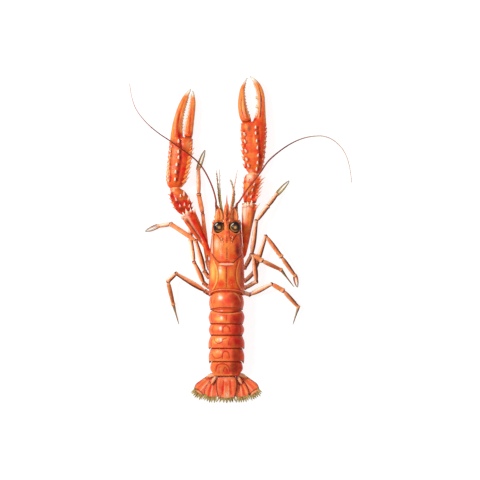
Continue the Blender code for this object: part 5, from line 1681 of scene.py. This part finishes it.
def build_pincer(root, toe, tones, seed):
    """Two thin fingers side by side, dark on the outside and grey at the tip."""
    pale, dark = tones
    beside = unit(np.cross(toe - root, (0, 0, 1)))
    parts = []
    for sign in (1, -1):
        rows = [(*(root + (toe - root) * share + beside * sign * away), radius, radius)
                for share, away, radius in PINCER_FINGER]
        skin = Skin(tube(rows), 0.3, pale, domes=(0.4, 0.15))
        skin.speckle("olive", 1.6, 0.5, seed + 31)
        skin.tint(smooth(-0.2, 0.5, sign * (skin.normals @ beside)), dark, 0.9)
        # Painted shade on the fingers' upright sides
        skin.outline(dark, 0.7)
        skin.tint(smooth(0.5, 1.0, skin.along), "grey", 0.8)
        parts += [skin.parts(), setae(skin, 12, 0.8, seed + 32 + sign)]
    return parts


def build_leg(name, joints, seed):
    joints = np.array(joints, float)
    parts = []
    for k in range(TOE):
        parts += build_stretch(name, k, joints[k], joints[k + 1], seed)
    if name in PINCER_TONES:
        parts += build_pincer(joints[TOE], joints[-1], PINCER_TONES[name], seed)
    else:
        parts += build_stretch(name, TOE, joints[TOE], joints[-1], seed)
    piece(f"walking_{name}", parts, "limb", name)


# The feelers: routes (x, y, z, half width, half height) on the right side, and whips (x, y, z)

FEELER_STALK = [(6.6, 31.6, 10.4, 2.0, 1.8), (6.9, 34.0, 10.8, 1.9, 1.7), (7.0, 36.4, 11.4, 1.6, 1.4),
                (7.2, 38.6, 12.2, 1.4, 1.2), (7.4, 40.6, 13.0, 1.2, 1.1), (7.9, 43.4, 14.0, 0.95, 0.9)]
FEELER_WHIPS = {
    "left": [(-8.0, 46.5, 15.0), (-9.9, 54.0, 16.8), (-13.4, 62.6, 17.8), (-17.6, 70.0, 18.2),
             (-22.4, 75.8, 18.2), (-28.6, 81.0, 18.0), (-35.6, 86.0, 17.6), (-43.0, 91.2, 16.4),
             (-50.4, 96.2, 13.6), (-57.6, 102.1, 10.0), (-64.0, 109.0, 6.6), (-68.8, 116.4, 3.6),
             (-71.4, 124.6, 1.8), (-73.0, 134.0, 1.0)],
    "right": [(10.0, 46.0, 15.0), (14.6, 53.2, 17.0), (19.8, 60.0, 18.0), (25.3, 67.0, 18.4),
              (30.8, 75.0, 18.4), (37.2, 81.0, 17.8), (43.9, 86.0, 16.8), (50.5, 89.9, 15.4),
              (57.6, 92.8, 13.4), (65.0, 94.3, 11.0), (72.6, 94.4, 8.6), (79.8, 91.7, 6.2),
              (86.4, 85.7, 4.2), (90.4, 78.7, 2.6), (92.8, 69.6, 1.6), (94.1, 59.8, 1.0)],
}
WHIP_ROOT, WHIP_TIP = 0.68, 0.24
WHIP_BANDS = 150
STALK_JOINTS = (0.055, 0.11, 0.16, 0.21, 0.26)
# Where each whip starts and ends to fade, and to what
FEELER_FADES = {"left": (0.72, 0.97, "pink"), "right": (0.56, 0.78, "sand")}
# The short feelers' two strands on each side, and the hairs on the first and the second
STRAND_TONES = {"left": ("olive", "feeler"), "right": ("limb", "straw")}
STRAND_HAIRS = (40, 240)
STRAND_ROOT, STRAND_TIP = 0.75, 0.2
STRAND_BANDS = 40
SCALE_ROWS = [(5.6, 31.6, 14.9, 3.1, 0.5), (5.7, 34.0, 15.0, 3.4, 0.6), (5.7, 37.0, 15.2, 2.5, 0.6),
              (5.7, 39.4, 15.4, 1.3, 0.5), (5.8, 41.2, 15.6, 0.3, 0.3)]
SCALE_STROKES = [
    ([(7.4, 32.0), (7.4, 36.0), (6.2, 40.0)], 0.4, "peach", 0.8, 0.25),
    ([(5.0, 32.0), (5.0, 36.0), (5.7, 40.4)], 0.3, "deep red", 0.8, -0.15),
    ([(3.4, 32.4), (3.8, 36.0), (4.9, 38.8)], 0.3, "peach", 0.8, 0.15),
]
FEELERETTES = {
    "left": {
        "stalk": [(-2.2, 31.7, 12.2, 1.0, 0.9), (-2.8, 35.0, 12.2, 1.0, 0.9), (-3.4, 39.0, 12.6, 0.8, 0.8)],
        "strands": [
            [(-3.2, 37.6, 12.5), (-4.6, 48.0, 15.0), (-5.0, 56.0, 16.4), (-5.2, 69.5, 17.0)],
            [(-3.6, 38.0, 12.5), (-5.4, 47.0, 13.6), (-6.4, 57.0, 14.0), (-7.8, 69.0, 13.6)],
        ],
    },
    "right": {
        "stalk": [(2.2, 31.7, 12.2, 1.0, 0.9), (2.6, 35.0, 12.2, 1.0, 0.9), (3.2, 39.0, 12.6, 0.8, 0.8)],
        "strands": [
            [(3.0, 37.6, 12.5), (4.4, 47.0, 15.0), (5.4, 54.0, 16.2), (8.2, 69.0, 16.6)],
            [(3.3, 38.0, 12.5), (5.6, 47.0, 13.4), (5.2, 55.0, 13.8), (2.6, 62.5, 13.4)],
        ],
    },
}


def whip(points, root, tip):
    """Rows for a thin strand that tapers from root to tip."""
    last = len(points) - 1
    radii = [root + (tip - root) * k / last for k in range(last + 1)]
    return [(*p, radius, radius) for p, radius in zip(points, radii)]


def build_feeler(side):
    """A long feeler: a stout jointed stalk, then a banded whip that fades to its tip."""
    route = sided(FEELER_STALK, side) + whip(FEELER_WHIPS[side], WHIP_ROOT, WHIP_TIP)
    feeler = Skin(tube(route), 0.3, "feeler", domes=(0.5, 0.1))
    rings = np.sin(feeler.along * 2 * math.pi * WHIP_BANDS)
    feeler.relief += 0.035 * rings * smooth(0.2, 0.4, feeler.along)
    feeler.tint(rings, "ink", 0.25)
    feeler.tint(smooth(0.6, 0.3, feeler.along), "knee", 0.9)
    fade_start, fade_end, pale = FEELER_FADES[side]
    feeler.tint(smooth(fade_start, fade_end, feeler.along), pale, 0.8)
    base = smooth(0.22, 0.14, feeler.along)
    feeler.tint(base, "limb", 0.85)
    feeler.tint(base * (0.5 + 0.5 * rings), "blush", 0.6)
    for joint in STALK_JOINTS:
        feeler.relief -= 0.3 * band(feeler.along, joint, 0.008)
        feeler.tint(band(feeler.along, joint, 0.01), "dark", 0.8)
    knobs = [thorns_along(feeler, (0.03, k), (0.13, k), 3, 0.8, 0.4, 1.5) for k in (0.1, 0.4)]
    piece(f"long_feeler_{side}", [feeler.parts(), *knobs], "feeler", f"feeler_{side}")


def build_scale(side):
    """The flat pointed scale beside the beak, with a thorn at its outer corner."""
    sign = SIDES[side]
    scale = Skin(tube(sided(SCALE_ROWS, side), 2.4), 0.28, "amber", domes=(0.3, 0.3))
    scale.speckle("coral", 2.0, 0.9, 61)
    # Painted highlight on the left side of the scale, towards the light
    scale.tint(smooth(0.2, -0.8, (scale.x - sign * 5.6) / 3.4), "gold", 0.3)
    scale.tint(smooth(0.08, 0.04, edge_share(scale)), "dark", 0.85)
    scale.tint(smooth(0.9, 1.0, scale.along), "dark", 0.7)
    for line, *rest in SCALE_STROKES:
        scale.stroke(sided(line, side), *rest)
    corner = (0.86, 0.0 if sign > 0 else 0.5)
    point = thorns_along(scale, corner, corner, 1, 2.2, 0.5, 3.0, "dark")
    lashes = setae(scale, 30, 1.6, 63)
    piece(f"feeler_scale_{side}", [scale.parts(), point, lashes], "shell", f"scale_{side}")


def build_feelerette(side):
    """A short stalk with two banded strands, of which the second is bushy."""
    small = FEELERETTES[side]
    stalk = Skin(tube(small["stalk"]), 0.26, "limb", domes=(0.4, 0.4))
    stalk.speckle("limb dark", 1.0, 0.7, 64)
    parts = [stalk.parts()]
    for k, points in enumerate(small["strands"]):
        route = whip(points, STRAND_ROOT, STRAND_TIP)
        strand = Skin(tube(route), 0.26, STRAND_TONES[side][k], domes=(0.2, 0.1))
        strand.relief += 0.03 * np.sin(strand.along * 2 * math.pi * STRAND_BANDS)
        strand.tint(smooth(0.5, 1.0, strand.along), "pink", 0.8)
        parts += [strand.parts(), setae(strand, STRAND_HAIRS[k], 1.4, 65 + k, 0.13)]
    piece(f"small_feelers_{side}", parts, "feeler", f"feelerette_{side}")


# The underside: swimmerets with y from their ring's rear rim, the breast plate and the jaw legs

SWIMMERET_ROWS = [
    (5.0, 6.8, 4.5, 0.8, 0.5),
    (6.0, 5.0, 3.6, 1.5, 0.4),
    (6.9, 2.4, 2.4, 1.9, 0.35),
    (7.2, -0.2, 1.4, 0.9, 0.3),
]
BREAST_HALF_WIDTH = 6.4
BREAST_HEIGHT = 5.9
# The breast plate from its rear to its front: (y, share of the full width)
BREAST_PLAN = [(-25.5, 0.6), (-23.5, 0.8), (-21.5, 1.0), (-10.0, 1.0), (1.0, 1.0), (7.0, 0.8), (14.0, 0.55)]
BREAST_SEAMS = (-20.4, -14.8, -9.1, -2.6, 4.6)
JAW_ROWS = [(3.4, 14.8, 3.4, 1.6, 1.4), (3.8, 20.0, 3.6, 1.7, 1.5), (4.0, 27.0, 4.0, 1.4, 1.2),
            (3.6, 33.0, 4.8, 1.0, 0.9), (2.8, 37.0, 5.6, 0.4, 0.4)]
JAW_JOINTS = (0.3, 0.55, 0.78)
SWIMMERET_PAIRS = 5


def build_swimmeret(number, side):
    """A paddle under a tail ring, fringed with hairs."""
    rear = TAIL_RINGS[f"tail_ring_{number}"][1]
    rows = [(x, rear + y, z, wide, tall) for x, y, z, wide, tall in sided(SWIMMERET_ROWS, side)]
    skin = Skin(tube(rows), 0.32, "pale belly", domes=(0.2, 0.2))
    skin.speckle("peach", 1.6, 0.7, 71 + number)
    hairs = setae(skin, 50, 1.2, 73 + number)
    piece(f"paddle_{number}_{side}", [skin.parts(), hairs], "belly", f"swimmeret_{number}_{side}")


def build_breast_plate():
    """The seamed plate that the lobster rests on."""
    rows = [(y, -BREAST_HALF_WIDTH * wide, BREAST_HALF_WIDTH * wide, 0.0, BREAST_HEIGHT)
            for y, wide in BREAST_PLAN]
    plate = Skin(slices(rows, 5.0), 0.5, "pale belly")
    plate.speckle("peach", 3.0, 0.8, 81)
    for y in BREAST_SEAMS:
        seam = band(plate.y, y, 0.35)
        plate.relief -= 0.35 * seam
        plate.tint(seam, "limb dark", 0.5)
    plate.relief -= 0.4 * band(plate.x, 0.0, 0.4) * (plate.rise < -0.5)
    piece("breast_shell", [plate.parts()], "belly", "breast_plate")


def build_jaw_leg(side):
    skin = Skin(tube(sided(JAW_ROWS, side)), 0.34, "limb", domes=(0.5, 0.3))
    limb_tones(skin, 0.0, 83)
    for joint in JAW_JOINTS:
        skin.relief -= 0.25 * band(skin.along, joint, 0.015)
        skin.tint(band(skin.along, joint, 0.018), "dark", 0.7)
    piece(f"jaw_shell_{side}", [skin.parts(), setae(skin, 110, 1.4, 85)], "limb", f"jaw_leg_{side}")


# Floor, light and camera, with the floor and the lights in metres

FLOOR_SIZE = 6.0
FLOOR_DROP = 0.0002
FLOOR_GREY = 0.25
FLOOR_GLOW = 0.85
SKY_STRENGTH = 0.4
# Square lights: (name, place, size, power)
LIGHTS = [
    ("key light", (-0.9, 0.3, 1.1), 0.4, 15.0),
    ("top light", (0.0, 0.3, 1.8), 1.6, 5.0),
]
CAMERA_PLACE = (10.1, 16.5, 4011.5)
CAMERA_LENS = 400.0
CAMERA_SENSOR = 36.0


def build_floor():
    """A white floor that glows a little, so that it stays pure white and takes hardly any shadow."""
    bpy.ops.mesh.primitive_plane_add(size=FLOOR_SIZE, location=(0, 0, -FLOOR_DROP))
    floor = bpy.context.object
    floor.name = "floor"
    white = bpy.data.materials.new("white floor")
    white.use_nodes = True
    set_inputs(white.node_tree.nodes["Principled BSDF"], Base_Color=(FLOOR_GREY, FLOOR_GREY, FLOOR_GREY, 1),
               Roughness=0.9, Specular_IOR_Level=0.1, Emission_Color=(1, 1, 1, 1),
               Emission_Strength=FLOOR_GLOW)
    floor.data.materials.append(white)


def held(name, data, location):
    """An object that holds a light or a camera."""
    holder = bpy.data.objects.new(name, data)
    holder.location = location
    bpy.context.scene.collection.objects.link(holder)
    return holder


def build_lights():
    world = bpy.data.worlds.new("studio")
    bpy.context.scene.world = world
    world.use_nodes = True
    set_inputs(world.node_tree.nodes["Background"], Color=(1, 1, 1, 1), Strength=SKY_STRENGTH)
    for name, location, size, power in LIGHTS:
        lamp = bpy.data.lights.new(name, "AREA")
        lamp.shape = "SQUARE"
        lamp.size = size
        lamp.energy = power
        holder = held(name, lamp, location)
        holder.rotation_euler = (-holder.location).to_track_quat("-Z", "Y").to_euler()


def build_camera():
    """A camera far above with a long lens, which looks straight down."""
    camera = bpy.data.cameras.new("camera")
    camera.lens = CAMERA_LENS
    camera.sensor_width = CAMERA_SENSOR
    scene = bpy.context.scene
    scene.camera = held("camera", camera, [value * MM for value in CAMERA_PLACE])
    scene.view_settings.view_transform = "Standard"


build_carapace()
for side in SIDES:
    build_eye(side)
for number, (ring, sizes) in enumerate(TAIL_RINGS.items()):
    build_tail_ring(ring, sizes, 101 + 3 * number)
build_telson()
for side in SIDES:
    build_blade("inner", side)
    build_blade("outer", side)
    build_fan_root(side)
for side, seed in CLAW_SEEDS.items():
    build_arm(side, seed)
    build_wrist(side, seed)
    build_palm(side, seed)
    build_thumb(side, seed)
for number, (leg, joints) in enumerate(LEG_JOINTS.items()):
    build_leg(leg, joints, 301 + 40 * number)
for side in SIDES:
    build_feeler(side)
    build_scale(side)
    build_feelerette(side)
for number in range(1, SWIMMERET_PAIRS + 1):
    for side in SIDES:
        build_swimmeret(number, side)
build_breast_plate()
for side in SIDES:
    build_jaw_leg(side)
build_floor()
build_lights()
build_camera()
